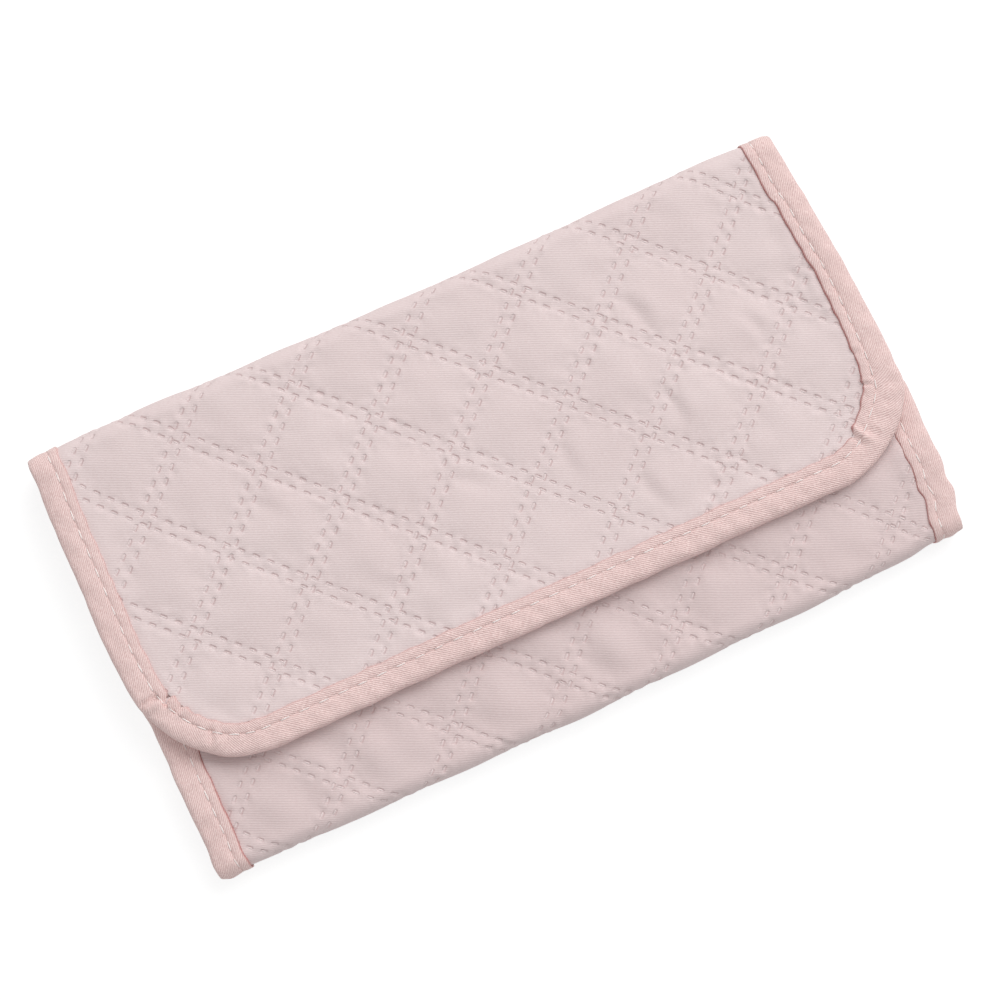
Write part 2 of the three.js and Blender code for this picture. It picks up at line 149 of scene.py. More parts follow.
class Ripple:
    """Gentle unevenness: a fixed sum of long waves with unit spread."""

    def __init__(self, seed: int, shortest: float, longest: float, count: int = 14) -> None:
        """Draws the waves.

        Args:
            seed: Of the random draw.
            shortest: Shortest wavelength in mm.
            longest: Longest wavelength in mm.
            count: How many waves are summed.
        """
        draw = np.random.default_rng(seed)
        length = shortest * (longest / shortest) ** draw.random(count)
        heading = draw.random(count) * 2.0 * math.pi
        self.across = 2.0 * math.pi * np.cos(heading) / length
        self.along = 2.0 * math.pi * np.sin(heading) / length
        self.start = draw.random(count) * 2.0 * math.pi
        self.scale = math.sqrt(2.0 / count)

    def at(self, u: Points, t: Points) -> Points:
        """The unevenness at points of the sheet.

        Args:
            u: Places along the folds.
            t: Places along the sheet.

        Returns:
            Values with a spread of about 1.
        """
        total = np.zeros(np.broadcast(u, t).shape)
        for a, b, c in zip(self.across, self.along, self.start):
            total = total + np.sin(a * u + b * t + c)
        return total * self.scale


def grid_faces(number: Points) -> Points:
    """Faces between neighbours in a grid of point numbers."""
    corners = [number[:-1, :-1], number[:-1, 1:], number[1:, 1:], number[1:, :-1]]
    return np.stack(corners, axis=-1).reshape(-1, 4)


def tube_faces(rings: int, size: int) -> list[list[int]]:
    """Faces of a closed tube.

    Args:
        rings: How many rings of points it has.
        size: How many points each ring has.

    Returns:
        Corner numbers of each face, with the two end caps last.
    """
    number = np.arange(rings * size).reshape(rings, size)
    turned = np.roll(number, -1, axis=1)
    sides = np.stack([number[:-1], turned[:-1], turned[1:], number[1:]], axis=-1)
    return sides.reshape(-1, 4).tolist() + [number[0, ::-1].tolist(), number[-1].tolist()]


def signed_volume(points: Points, faces: Sequence[Sequence[int]]) -> float:
    """Volume of a closed mesh, negative where its faces point inwards.

    Args:
        points: Corner places.
        faces: Corner numbers of each face.

    Returns:
        The volume in cubed units of the places.
    """
    total = 0.0
    by_size: dict[int, list[Sequence[int]]] = {}
    for face in faces:
        by_size.setdefault(len(face), []).append(face)
    for size, group in by_size.items():
        corners = points[np.asarray(group)]
        for k in range(1, size - 1):
            turn = np.cross(corners[:, k], corners[:, k + 1])
            total += float((corners[:, 0] * turn).sum())
    return total / 6.0


def link(name: str, data: bpy.types.ID | None) -> Piece:
    """Puts a new object with some data into the scene.

    Args:
        name: Of the object.
        data: That it shows.

    Returns:
        The new object.
    """
    made = bpy.data.objects.new(name, data)
    bpy.context.scene.collection.objects.link(made)
    return made


def add_mesh(
    name: str,
    points: Points,
    faces: list,
    uv_maps: dict[str, Points] | None = None,
    closed: bool = True,
    flat: int = 0,
) -> Piece:
    """Makes a smooth-shaded object at the origin.

    Args:
        name: Of the piece.
        points: Corner places in mm.
        faces: Corner numbers of each face.
        uv_maps: A pair of coordinates for each corner, by map name.
        closed: Whether the mesh bounds a solid, whose faces then point outwards.
        flat: How many of the last faces are shaded flat, such as cut ends.

    Returns:
        The new object.
    """
    points = np.asarray(points, float).reshape(-1, 3)
    if closed and signed_volume(points, faces) < 0:
        faces = [face[::-1] for face in faces]
    mesh = bpy.data.meshes.new(name)
    mesh.from_pydata((points * MM).tolist(), [], faces)
    rounded = np.ones(len(mesh.polygons), bool)
    rounded[len(rounded) - flat :] = False
    mesh.polygons.foreach_set("use_smooth", rounded)
    corner = np.empty(len(mesh.loops), np.int32)
    mesh.loops.foreach_get("vertex_index", corner)
    for map_name, values in (uv_maps or {}).items():
        layer = mesh.uv_layers.new(name=map_name)
        pairs = np.asarray(values, np.float32).reshape(-1, 2)
        layer.data.foreach_set("uv", pairs[corner].ravel())
    mesh.update()
    return link(name, mesh)


def sharpen(piece: Piece, degrees: float) -> None:
    """Marks edges that turn by more than an angle as sharp, for shading.

    Args:
        piece: Whose edges are marked.
        degrees: The angle.
    """
    work = bmesh.new()
    work.from_mesh(piece.data)
    for edge in work.edges:
        edge.smooth = edge.calc_face_angle(0.0) < math.radians(degrees)
    work.to_mesh(piece.data)
    work.free()


def apply_modifiers(piece: Piece) -> None:
    """Turns a piece with modifiers into a plain mesh.

    Args:
        piece: To change.
    """
    bpy.context.view_layer.update()
    evaluated = piece.evaluated_get(bpy.context.evaluated_depsgraph_get())
    mesh = bpy.data.meshes.new_from_object(evaluated)
    piece.modifiers.clear()
    old = piece.data
    piece.data = mesh
    mesh.name = piece.name
    bpy.data.meshes.remove(old)


def dress(
    piece: Piece,
    carry: Callable[[Piece], None],
    nodes: Sequence[str] = (),
    material: Material | None = None,
) -> None:
    """Gives a piece its material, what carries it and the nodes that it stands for.

    Args:
        piece: To dress.
        carry: Joins a piece to the body or bodies that carry it.
        nodes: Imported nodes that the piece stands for.
        material: Of its faces, where they have none yet.
    """
    if material is not None:
        piece.data.materials.append(material)
    carry(piece)
    if nodes:
        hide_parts(*nodes)
    LOG.info("%s: %d faces", piece.name, len(piece.data.polygons))


@dataclass(frozen=True)
class Lay:
    """How far the soft roll's outline lies from a true rectangle, in mm.

    The edges' tables give shifts by distance from the top fold, and the bows are soft bells
    along the folds.
    """

    top_left: Pair = (-2.2, 0.5)
    top_right: Pair = (-1.2, -1.3)
    bottom_right: Pair = (1.6, 1.2)
    bottom_left: Pair = (1.8, -0.5)
    half_width: float = 120.0
    half_depth: float = 66.5
    blur: float = 1.6
    top_bow: tuple[Triple, ...] = ((0.8, -90, 28), (0.8, 92, 22), (-0.6, 8, 34), (-0.8, -116, 5))
    bottom_bow: tuple[Triple, ...] = ((-0.4, 68, 14), (-0.35, -6, 18))
    bottom_sag: float = 1.7
    sag_half: float = 108.0
    right_lift: float = 0.8
    left_edge: tuple[Pair, ...] = (
        *((0, 1.1), (9, 1.5), (15, 0.8), (24, 0.2), (40, -0.3), (66, -1.0)),
        *((74, -0.5), (85, 0.75), (110, 0.4), (124, 0.1), (129, -0.6), (133, 0.2)),
    )
    right_edge: tuple[Pair, ...] = (
        *((0, -2.1), (16, -2.1), (24, -1.3), (34, -1.1), (44, -0.1), (70, 0.0), (79, -0.2), (85, 1.4)),
        *((94, 0.7), (104, -0.1), (111, 0.0), (116, -1.5), (120, -0.5), (126, -2.8), (133, -3.0)),
    )

    def _wander(self, edge: tuple[Pair, ...], down: Points) -> Points:
        """How far a side's edge wanders, smoothed.

        Args:
            edge: The edge's table.
            down: Distances from the top fold.

        Returns:
            Shifts along the folds.
        """
        at, shift = zip(*edge)
        near = [np.interp(down + step, at, shift) for step in (-self.blur, 0.0, self.blur)]
        return 0.25 * near[0] + 0.5 * near[1] + 0.25 * near[2]

    def shift(self, x: Points, y: Points) -> tuple[Points, Points]:
        """How far points of the closed roll move.

        Args:
            x: Places along the folds.
            y: Places across the folds.

        Returns:
            The shift along x and along y.
        """
        right = 0.5 + 0.5 * x / self.half_width
        top = 0.5 + 0.5 * y / self.half_depth
        corners = (
            (self.top_left, (1 - right) * top),
            (self.top_right, right * top),
            (self.bottom_right, right * (1 - top)),
            (self.bottom_left, (1 - right) * (1 - top)),
        )
        along, across = (sum(corner[k] * share for corner, share in corners) for k in range(2))
        sides = [self._wander(edge, self.half_depth - y) for edge in (self.left_edge, self.right_edge)]
        along = along + smooth((np.abs(x) - 86.0) / 30.0) * np.where(x < 0, *sides)
        sag = self.bottom_sag * np.clip(1.0 - (x / self.sag_half) ** 2, 0.0, 1.0)
        bottom = bells(x, self.bottom_bow) - sag + self.right_lift * smooth((x - 100.0) / 10.0)
        across = across + bells(x, self.top_bow) * smooth((y - 30.0) / 36.0)
        return along, across + bottom * smooth((-y - 36.0) / 30.0)


@dataclass
class FoldedSheet:
    """The padded sheet folded into the closed roll."""

    width: float = 240.0
    depth: float = 133.0
    flap_reach: float = 106.0
    flap_corner: float = 30.0
    corner_power: float = 1.9
    front_reach: float = 63.0
    front_corner: float = 6.0
    flap_rise: float = 16.0
    front_rise: float = 10.4
    fold_radii: tuple[float, float, float, float] = (6.0, 5.4, 4.4, 4.8)
    top_fold_reach: float = 13.0
    bottom_fold_reach: float = 9.0
    droop: float = 0.4
    droop_reach: float = 13.0
    droop_flat: float = 4.0
    sway: float = 0.35
    sway_depth: float = 2.8
    bow_depth: float = 3.0
    front_swell: float = 1.2
    lay: Lay = field(default_factory=Lay)

    def __post_init__(self) -> None:
        """Works out the lengths and turns along the sheet: flats and, between them, round folds."""
        a, b, c, d = self.fold_radii
        flats = (
            self.flap_reach - a,
            self.flap_rise - a - b,
            self.depth - b - c,
            self.front_rise - c - d,
            self.front_reach - d,
        )
        lengths = [flats[0]]
        for radius, flat in zip(self.fold_radii, flats[1:]):
            lengths += [radius * math.pi / 2, flat]
        self.bounds = np.concatenate([[0.0], np.cumsum(lengths)])
        self.length = float(self.bounds[-1])
        self.flap_end = self.bounds[1]
        self.back_start, self.back_end = self.bounds[4:6]
        self.bottom_start, self.front_start = self.bounds[[6, 8]]
        middles = 0.5 * (self.bounds[:-1] + self.bounds[1:])
        self.top_middle, self.back_middle, self.bottom_middle = middles[[2, 4, 6]]
        self.rate = np.zeros(len(lengths))
        self.rate[1::2] = 1.0 / np.array(self.fold_radii)
        self.turn = np.concatenate([[0.0], np.cumsum(self.rate * lengths)])[:-1]
        place = [np.array([self.depth / 2 - self.flap_reach, self.flap_rise])]
        for k, length in enumerate(lengths):
            place.append(self._walk(place[k], self.turn[k], self.rate[k], np.array(length)))
        self.starts = np.array(place[:-1])
        self.ripple = Ripple(seed=5, shortest=55.0, longest=140.0)

    @staticmethod
    def _walk(start: Points, turn: Points, rate: Points, length: Points) -> Points:
        """The place reached from a start along a straight or a round stretch.

        Args:
            start: Place of the start in (y, z).
            turn: Heading there, as an angle.
            rate: Turn for each mm, 0 on a straight stretch.
            length: Distance to go.

        Returns:
            The place in (y, z).
        """
        angle = turn + rate * length
        radius = 1.0 / np.where(rate > 0, rate, 1.0)
        bend_y = radius * (np.sin(angle) - np.sin(turn))
        bend_z = radius * (np.cos(angle) - np.cos(turn))
        y = np.where(rate > 0, bend_y, length * np.cos(turn))
        z = np.where(rate > 0, bend_z, -length * np.sin(turn))
        return start + np.stack([y, z], axis=-1)

    def on_back(self, y: float) -> float:
        """Place along the sheet of a line across the back."""
        return float(self.back_start + self.starts[4][0] - y)

    def on_flap(self, y: float) -> float:
        """Place along the sheet of a line across the flap."""
        return float(y - self.starts[0][0])

    def on_front(self, y: float) -> float:
        """Place along the sheet of a line across the front."""
        return float(self.front_start + y - self.starts[8][0])

    def foldness(self, t: Points) -> Points:
        """How near points are to a fold, from 0 to 1."""
        top = bump(t, self.top_middle, self.top_fold_reach)
        return np.clip(top + bump(t, self.bottom_middle, self.bottom_fold_reach), 0.0, 1.0)

    def half_width(self, t: Points, inset: float) -> Points:
        """Half the sheet's width between its edges, less an inset.

        Args:
            t: Places along the sheet.
            inset: From the sheet's edge.

        Returns:
            Half widths, which shrink at the rounded corners.
        """
        straight = self.width / 2 - inset
        half = np.full(np.shape(t), straight)
        power = self.corner_power
        ends = ((t - inset, self.flap_corner), (self.length - t - inset, self.front_corner))
        for from_edge, corner in ends:
            radius = corner - inset
            if radius > 0.0:
                share = np.clip((radius - from_edge) / radius, 0.0, 1.0)
                half = np.minimum(half, straight - radius + radius * (1 - share**power) ** (1 / power))
        return half

    def place(self, u: Points, t: Points, depth: Points) -> Points:
        """Places of points of the sheet in the closed roll.

        Args:
            u: Places along the folds.
            t: Places along the sheet.
            depth: Depths below the outer face.

        Returns:
            Places in mm, with x, y and z on the last axis.
        """
        u, t, depth = np.broadcast_arrays(u, t, depth)
        k = np.clip(np.searchsorted(self.bounds, t, side="right") - 1, 0, len(self.rate) - 1)
        length = t - self.bounds[k]
        angle = self.turn[k] + self.rate[k] * length
        flat = self._walk(self.starts[k], self.turn[k], self.rate[k], length)
        y = flat[..., 0] - depth * np.sin(angle)
        z = flat[..., 1] - depth * np.cos(angle)
        z = z - self.droop * smooth((self.droop_reach - t) / (self.droop_reach - self.droop_flat))
        from_fold = self.depth / 2 + y
        ridge = smooth((from_fold - 3.0) / 22.0) * smooth((36.0 - from_fold) / 8.0)
        z = z + self.front_swell * ridge * (t > self.front_start)
        on_flap = smooth((self.flap_end - t) / 30.0)
        on_front = smooth((t - self.front_start) / 20.0)
        outside = np.clip(1.0 - depth / self.sway_depth, 0.0, 1.0)
        z = z + self.sway * self.ripple.at(u, t) * outside * np.clip(on_flap + on_front, 0, 1)
        along, across = self.lay.shift(u, y)
        outer = np.clip(1.0 - depth / self.bow_depth, 0.0, 1.0)
        return np.stack([u + along, y + across * outer, np.maximum(z, 0.0)], axis=-1)


@dataclass(frozen=True)
class RowFamily:
    """One of the two headings of stitch rows, as it lies on the flap or on the front."""

    heading: float
    pitch: float
    offset: float

    def phase(self, u: Points, v: Points) -> Points:
        """Row count at places u and distances v from the panel's fold, whole on the middle of a pair."""
        angle = math.radians(self.heading)
        return (u * math.cos(angle) + v * math.sin(angle) - self.offset) / self.pitch


@dataclass
class Quilting:
    """The double rows of stitching that divide the sheet into diamonds."""

    sheet: FoldedSheet
    on_flap: tuple[RowFamily, RowFamily] = (
        RowFamily(45.92, 25.03, 5.99),
        RowFamily(-43.42, 25.72, 12.76),
    )
    on_front: tuple[RowFamily, RowFamily] = (
        RowFamily(-45.92, 24.55, 11.70),
        RowFamily(45.26, 24.98, 3.68),
    )
    pair_gap: float = 3.2
    pitch: float = 25.3
    stitch_pitch: float = 4.5
    stitch_stagger: float = 0.22
    reach: int = 16
    solve_steps: int = 12

    def __post_init__(self) -> None:
        """Finds how many rows the front's count is ahead of the flap's."""
        self.per_pair = self.pitch / self.stitch_pitch
        middle = np.array(self.sheet.back_middle)
        zero = np.array(0.0)
        gaps = [self._flap_phase(k, zero, middle) - self._front_phase(k, zero, middle) for k in range(2)]
        self.ahead = [float(np.round(gap)) for gap in gaps]

    def _flap_phase(self, k: int, u: Points, t: Points) -> Points:
        """Row count carried on from the flap."""
        return self.on_flap[k].phase(u, self.sheet.flap_reach - t)

    def _front_phase(self, k: int, u: Points, t: Points) -> Points:
        """Row count carried on from the front."""
        return self.on_front[k].phase(u, t - self.sheet.length + self.sheet.front_reach)

    def phase(self, k: int, u: Points, t: Points) -> Points:
        """Row count of one heading anywhere on the sheet.

        Args:
            k: The heading, 0 or 1.
            u: Places along the folds.
            t: Places along the sheet.

        Returns:
            Counts, whole on the middle line of a pair of rows.
        """
        start, end = self.sheet.back_start, self.sheet.back_end
        share = smooth((t - start) / (end - start))
        front = self._front_phase(k, u, t) + self.ahead[k]
        return (1 - share) * self._flap_phase(k, u, t) + share * front

    def from_pair(self, k: int, u: Points, t: Points) -> Points:
        """Distance in mm from the middle line of the nearest pair of rows."""
        count = self.phase(k, u, t)
        return np.abs(count - np.round(count)) * self.pitch

    def needle_points(self) -> tuple[Points, Points, Points]:
        """Where each stitch lies.

        Returns:
            Places u and t of the stitches' middles, and their headings as (du, dt).
        """
        rows = np.arange(-self.reach, self.reach + 1)
        most = int(self.reach * self.per_pair)
        steps = np.arange(-most, most + 1)
        half = 0.5 * self.pair_gap / self.pitch
        places, headings = [], []
        for k in range(2):
            for side in (-1, 1):
                row, step = np.meshgrid(rows + side * half, steps + side * self.stitch_stagger)
                wanted = [row.ravel(), (step / self.per_pair).ravel()]
                if k == 1:
                    wanted.reverse()
                place = self._solve(*wanted)
                wanted[1 - k] = wanted[1 - k] + 0.02
                heading = self._solve(*wanted) - place
                places.append(place)
                headings.append(heading / np.linalg.norm(heading, axis=-1, keepdims=True))
        place = np.concatenate(places)
        return place[:, 0], place[:, 1], np.concatenate(headings)

    def _solve(self, first: Points, second: Points) -> Points:
        """Finds the places whose two row counts are the ones given.

        Args:
            first: Counts of the first heading.
            second: Counts of the second heading.

        Returns:
            Places, with u and t on the last axis.
        """
        u = (first + second) * self.pitch / math.sqrt(2)
        t = self.sheet.flap_reach - (first - second) * self.pitch / math.sqrt(2)
        small = 0.5
        for _ in range(self.solve_steps):
            a, b = self.phase(0, u, t), self.phase(1, u, t)
            a_u, b_u = ((self.phase(k, u + small, t) - c) / small for k, c in enumerate((a, b)))
            a_t, b_t = ((self.phase(k, u, t + small) - c) / small for k, c in enumerate((a, b)))
            det = a_u * b_t - a_t * b_u
            u = u - ((a - first) * b_t - (b - second) * a_t) / det
            t = t - ((b - second) * a_u - (a - first) * b_u) / det
        return np.stack([u, t], axis=-1)


@dataclass(frozen=True)
class Field:
    """A smooth field on a regular grid over the sheet, with a row for each place along it."""

    values: Points
    u0: float
    t0: float
    step: float

    @staticmethod
    def _shares(x: Points) -> list[Points]:
        """Shares of four neighbours in a smooth curve through the middle two.

        Args:
            x: Place between the middle two, from 0 to 1.

        Returns:
            One share for each of the four.
        """
        return [
            0.5 * (-x + 2 * x**2 - x**3),
            0.5 * (2 - 5 * x**2 + 3 * x**3),
            0.5 * (x + 4 * x**2 - 3 * x**3),
            0.5 * (x**3 - x**2),
        ]

    def at(self, u: Points, t: Points) -> Points:
        """Values at points of the sheet.

        Args:
            u: Places along the folds.
            t: Places along the sheet.

        Returns:
            The field there, smooth between the grid's points.
        """
        rows, columns = self.values.shape
        gu = np.clip((u - self.u0) / self.step, 0, columns - 1.001)
        gt = np.clip((t - self.t0) / self.step, 0, rows - 1.001)
        iu, it = gu.astype(int), gt.astype(int)
        share_u, share_t = self._shares(gu - iu), self._shares(gt - it)
        total = np.zeros(np.shape(gu))
        for a in range(4):
            row = np.clip(it + a - 1, 0, rows - 1)
            for b in range(4):
                column = np.clip(iu + b - 1, 0, columns - 1)
                total = total + share_t[a] * share_u[b] * self.values[row, column]
        return total


@dataclass(frozen=True)
class Crease:
    """A soft crease in the flap's cloth: a bent line that sinks, with a low ridge beside it."""

    u: float
    down: float
    heading: float
    length: float
    width: float
    depth: float
    bend: float

    def sink(self, u: Points, down: Points) -> Points:
        """How far points of the flap sink.

        Args:
            u: Places along the folds.
            down: Distances from the top fold.

        Returns:
            Depths in mm, negative on the ridge.
        """
        angle = math.radians(self.heading)
        along = (u - self.u) * math.cos(angle) + (down - self.down) * math.sin(angle)
        across = (down - self.down) * math.cos(angle) - (u - self.u) * math.sin(angle)
        across = across - self.bend * along * along
        ridge = 0.6 * bump(across, -1.7 * self.width, 1.3 * self.width)
        return self.depth * bump(along, 0.0, 0.5 * self.length) * (bump(across, 0.0, self.width) - ridge)


@dataclass
class Padding:
    """Wadding that swells the outer cloth between the stitch rows, by a cloth simulation."""

    sheet: FoldedSheet
    quilting: Quilting
    channel: float = 1.25
    crown: float = 0.66
    highest: float = 1.25
    thickness: float = 2.6
    back_swell: float = 1.6
    groove: float = 0.15
    groove_width: float = 0.7
    ruck: float = 0.09
    ruck_reach: float = 2.2
    front_wave: float = 0.2
    shoulder: float = 0.6
    shoulder_width: float = 3.5
    edge: float = 9.9
    grid: float = 2.0
    slack: float = 0.015
    pressure: float = 3.0
    mass: float = 0.3
    bending: float = 20.0
    stiffness: float = 15.0
    damping: float = 10.0
    frames: int = 20
    scale: float = 0.01
    creases: tuple[Crease, ...] = (
        Crease(59.0, 34.0, 74.0, 14.0, 2.4, 0.6, 0.02),
        Crease(21.5, 65.0, 86.0, 13.0, 2.3, 0.66, -0.02),
        Crease(56.5, 64.0, 82.0, 14.0, 2.3, 0.6, 0.02),
        Crease(-6.0, 60.0, 40.0, 13.0, 2.4, 0.4, 0.015),
        Crease(39.0, 83.0, 78.0, 13.0, 2.3, 0.6, -0.02),
        Crease(-62.0, 42.0, 55.0, 12.0, 2.5, 0.34, 0.01),
        Crease(-40.0, 78.0, 35.0, 12.0, 2.4, 0.34, -0.015),
        Crease(88.0, 52.0, 70.0, 11.0, 2.2, 0.44, 0.02),
    )

    def __post_init__(self) -> None:
        """Works out how the cloth swells, on a grid over the sheet."""
        half = self.sheet.width / 2
        across = np.arange(-half, half + self.grid, self.grid)
        u, t = np.meshgrid(across, np.arange(0.0, self.sheet.length + self.grid, self.grid))
        held = np.abs(u) > self.sheet.half_width(t, self.edge) - 0.5
        held |= (t < self.edge) | (t > self.sheet.length - self.edge)
        for k in range(2):
            held |= self.quilting.from_pair(k, u, t) < 0.5 * self.quilting.pair_gap + 0.25
        swell = self._simulated(u, t, held)
        swell = np.where(held, np.minimum(swell, 0.12), swell)
        swell *= self.crown / np.percentile(swell, 93)
        swell *= 1.0 - 0.6 * self.sheet.foldness(t)
        wide = np.pad(swell, 1, mode="edge")
        beside = wide[:-2, 1:-1] + wide[2:, 1:-1] + wide[1:-1, :-2] + wide[1:-1, 2:]
        soft = np.clip(0.5 * swell + 0.125 * beside, 0.0, self.highest)
        self.field = Field(soft, across[0], 0.0, self.grid)
        self.fine = Ripple(seed=71, shortest=2.6, longest=7.0, count=30)
        self.long = Ripple(seed=83, shortest=10.0, longest=26.0, count=12)

    def _simulated(self, u: Points, t: Points, held: Points) -> Points:
        """Swells a flat cloth that is held along its stitch rows.

        Args:
            u: Grid places along the folds.
            t: Grid places along the sheet.
            held: Which points are sewn down.

        Returns:
            How far each point rises, in mm.
        """
        rough = Ripple(seed=3, shortest=9.0, longest=26.0, count=40).at(u, t)
        start = np.where(held, 0.0, 0.25 + 0.12 * rough)
        places = np.stack([u, t, start], axis=-1).reshape(-1, 3) * self.scale
        mesh = bpy.data.meshes.new("swelling_cloth")
        mesh.from_pydata(places.tolist(), [], grid_faces(np.arange(u.size).reshape(u.shape)).tolist())
        cloth = link("swelling_cloth", mesh)
        sewn = cloth.vertex_groups.new(name="sewn")
        sewn.add(np.flatnonzero(held.ravel()).tolist(), 1.0, "REPLACE")
        modifier = cloth.modifiers.new("swell", "CLOTH")
        modifier.collision_settings.use_collision = False
        modifier.point_cache.frame_start = 1
        modifier.point_cache.frame_end = self.frames
        settings = modifier.settings
        settings.vertex_group_mass = sewn.name
        settings.quality = 4
        settings.mass = self.mass
        settings.shear_stiffness = 0.3 * self.stiffness
        settings.bending_stiffness = self.bending
        settings.bending_damping = 0.2 * self.damping
        for way in ("tension", "compression"):
            setattr(settings, f"{way}_stiffness", self.stiffness)
        for way in ("tension", "compression", "shear"):
            setattr(settings, f"{way}_damping", self.damping)
        settings.shrink_min = -self.slack
        settings.shrink_max = -self.slack
        settings.use_pressure = True
        settings.uniform_pressure_force = self.pressure
        settings.effector_weights.gravity = 0.0
        for frame_number in range(1, self.frames + 1):
            bpy.context.scene.frame_set(frame_number)
        evaluated = cloth.evaluated_get(bpy.context.evaluated_depsgraph_get())
        moved = np.empty(u.size * 3, np.float32)
        evaluated.data.vertices.foreach_get("co", moved)
        bpy.data.objects.remove(cloth)
        bpy.data.meshes.remove(mesh)
        bpy.context.scene.frame_set(1)
        return moved.reshape(*u.shape, 3)[..., 2].astype(float) / self.scale

    def on_back(self, t: Points) -> Points:
        """How far points are on the back, from 0 to 1."""
        return smooth((t - self.sheet.back_start) / 6.0) * smooth((self.sheet.back_end - t) / 6.0)

    def outer_depth(self, u: Points, t: Points) -> Points:
        """Depth of the outer cloth below the sheet's outer face, without stitch grooves.

        Args:
            u: Places along the folds.
            t: Places along the sheet.

        Returns:
            Depths in mm. The back's crowns are pressed flat by what the roll lies on.
        """
        pressed = self.on_back(t)
        folded = self.sheet.foldness(t)
        rise = self.field.at(u, t) * (1.0 + (self.back_swell - 1.0) * pressed)
        depth = self.channel * (1.0 - 0.65 * folded) - rise
        for crease in self.creases:
            depth = depth + crease.sink(u, self.sheet.flap_reach - t)
        inside = self.sheet.half_width(t, self.edge) - np.abs(u)
        wide = self.shoulder_width
        beside = np.maximum(bump(inside, 0.0, wide), bump(t, self.edge, wide))
        depth = depth - self.shoulder * beside * (1.0 - folded)
        on_front = smooth((t - self.sheet.front_start) / 6.0)
        depth = depth + self.front_wave * on_front * self.long.at(u + 0.3 * t, 0.22 * t)
        flat = 0.02 + 0.05 * np.exp(-np.clip(depth, 0, None) / 0.05)
        return np.where(pressed > 0, np.maximum(depth, flat * pressed + (1 - pressed) * depth), depth)

    def grooved_depth(self, u: Points, t: Points) -> Points:
        """Depth of the outer cloth with the grooves and small rucks that its stitches pull into it.

        Args:
            u: Places along the folds.
            t: Places along the sheet.

        Returns:
            Depths in mm.
        """
        quilting = self.quilting
        counts = [quilting.phase(k, u, t) for k in range(2)]
        groove = np.zeros(np.shape(counts[0]))
        near = np.zeros(np.shape(counts[0]))
        for k in range(2):
            from_middle = (counts[k] - np.round(counts[k])) * quilting.pitch
            off = np.abs(from_middle) - 0.5 * quilting.pair_gap
            step = counts[1 - k] * quilting.per_pair - np.sign(from_middle) * quilting.stitch_stagger
            along = np.abs(step - np.round(step)) * quilting.stitch_pitch
            pull = 0.25 + 0.75 * smooth((1.75 - along) / 0.9)
            groove = np.maximum(groove, bump(off, 0.0, self.groove_width) * pull)
            near = np.maximum(near, bump(off, 0.0, self.ruck_reach))
        rucked = self.ruck * near * self.fine.at(u, t) * (1.0 - self.on_back(t))
        return self.outer_depth(u, t) + self.groove * groove + rucked


def slab(
    name: str,
    sheet: FoldedSheet,
    line: Points,
    half: Points,
    columns: int,
    depth: Callable[[Points, Points], Points],
    behind: float,
    quilting: Quilting | None = None,
) -> Piece:
    """Makes a closed slab of the sheet: one finely shaped face and a plain face behind it.

    Args:
        name: Of the piece.
        sheet: The folded sheet.
        line: Places along the sheet of the slab's rows.
        half: Half the slab's width in each row.
        columns: How many points a row has.
        depth: Gives the shaped face's depth at places (u, t).
        behind: Depth of the plain face.
        quilting: Whose row counts the shaped face carries, if any.

    Returns:
        The new object.
    """
    u = half[:, None] * np.linspace(-1.0, 1.0, columns)[None, :]
    t = np.broadcast_to(line[:, None], u.shape)
    number = np.arange(u.size).reshape(u.shape)
    left = u.size + np.arange(len(line))
    right = left + len(line)
    grid = grid_faces(number)
    walls = [
        np.stack([left[:-1], left[1:], right[1:], right[:-1]], axis=-1),
        np.stack([number[:-1, 0], number[1:, 0], left[1:], left[:-1]], axis=-1),
        np.stack([number[:-1, -1], right[:-1], right[1:], number[1:, -1]], axis=-1),
    ]
    faces = np.concatenate([grid, *walls]).tolist()
    faces.append([int(left[0]), int(right[0]), *number[0, ::-1].tolist()])
    faces.append([*number[-1].tolist(), int(right[-1]), int(left[-1])])
    sides = [sheet.place(way * half, line, behind) for way in (-1.0, 1.0)]
    points = np.concatenate([sheet.place(u, t, depth(u, t)).reshape(-1, 3), *sides])
    grids = {"cloth": np.stack([u, t], axis=-1)}
    if quilting:
        grids["rows"] = np.stack([quilting.phase(k, u, t) for k in range(2)], axis=-1)
    maps = {}
    for map_name, values in grids.items():
        maps[map_name] = np.concatenate([values.reshape(-1, 2), values[:, 0], values[:, -1]])
    return add_mesh(name, points, faces, maps, flat=len(faces) - len(grid))


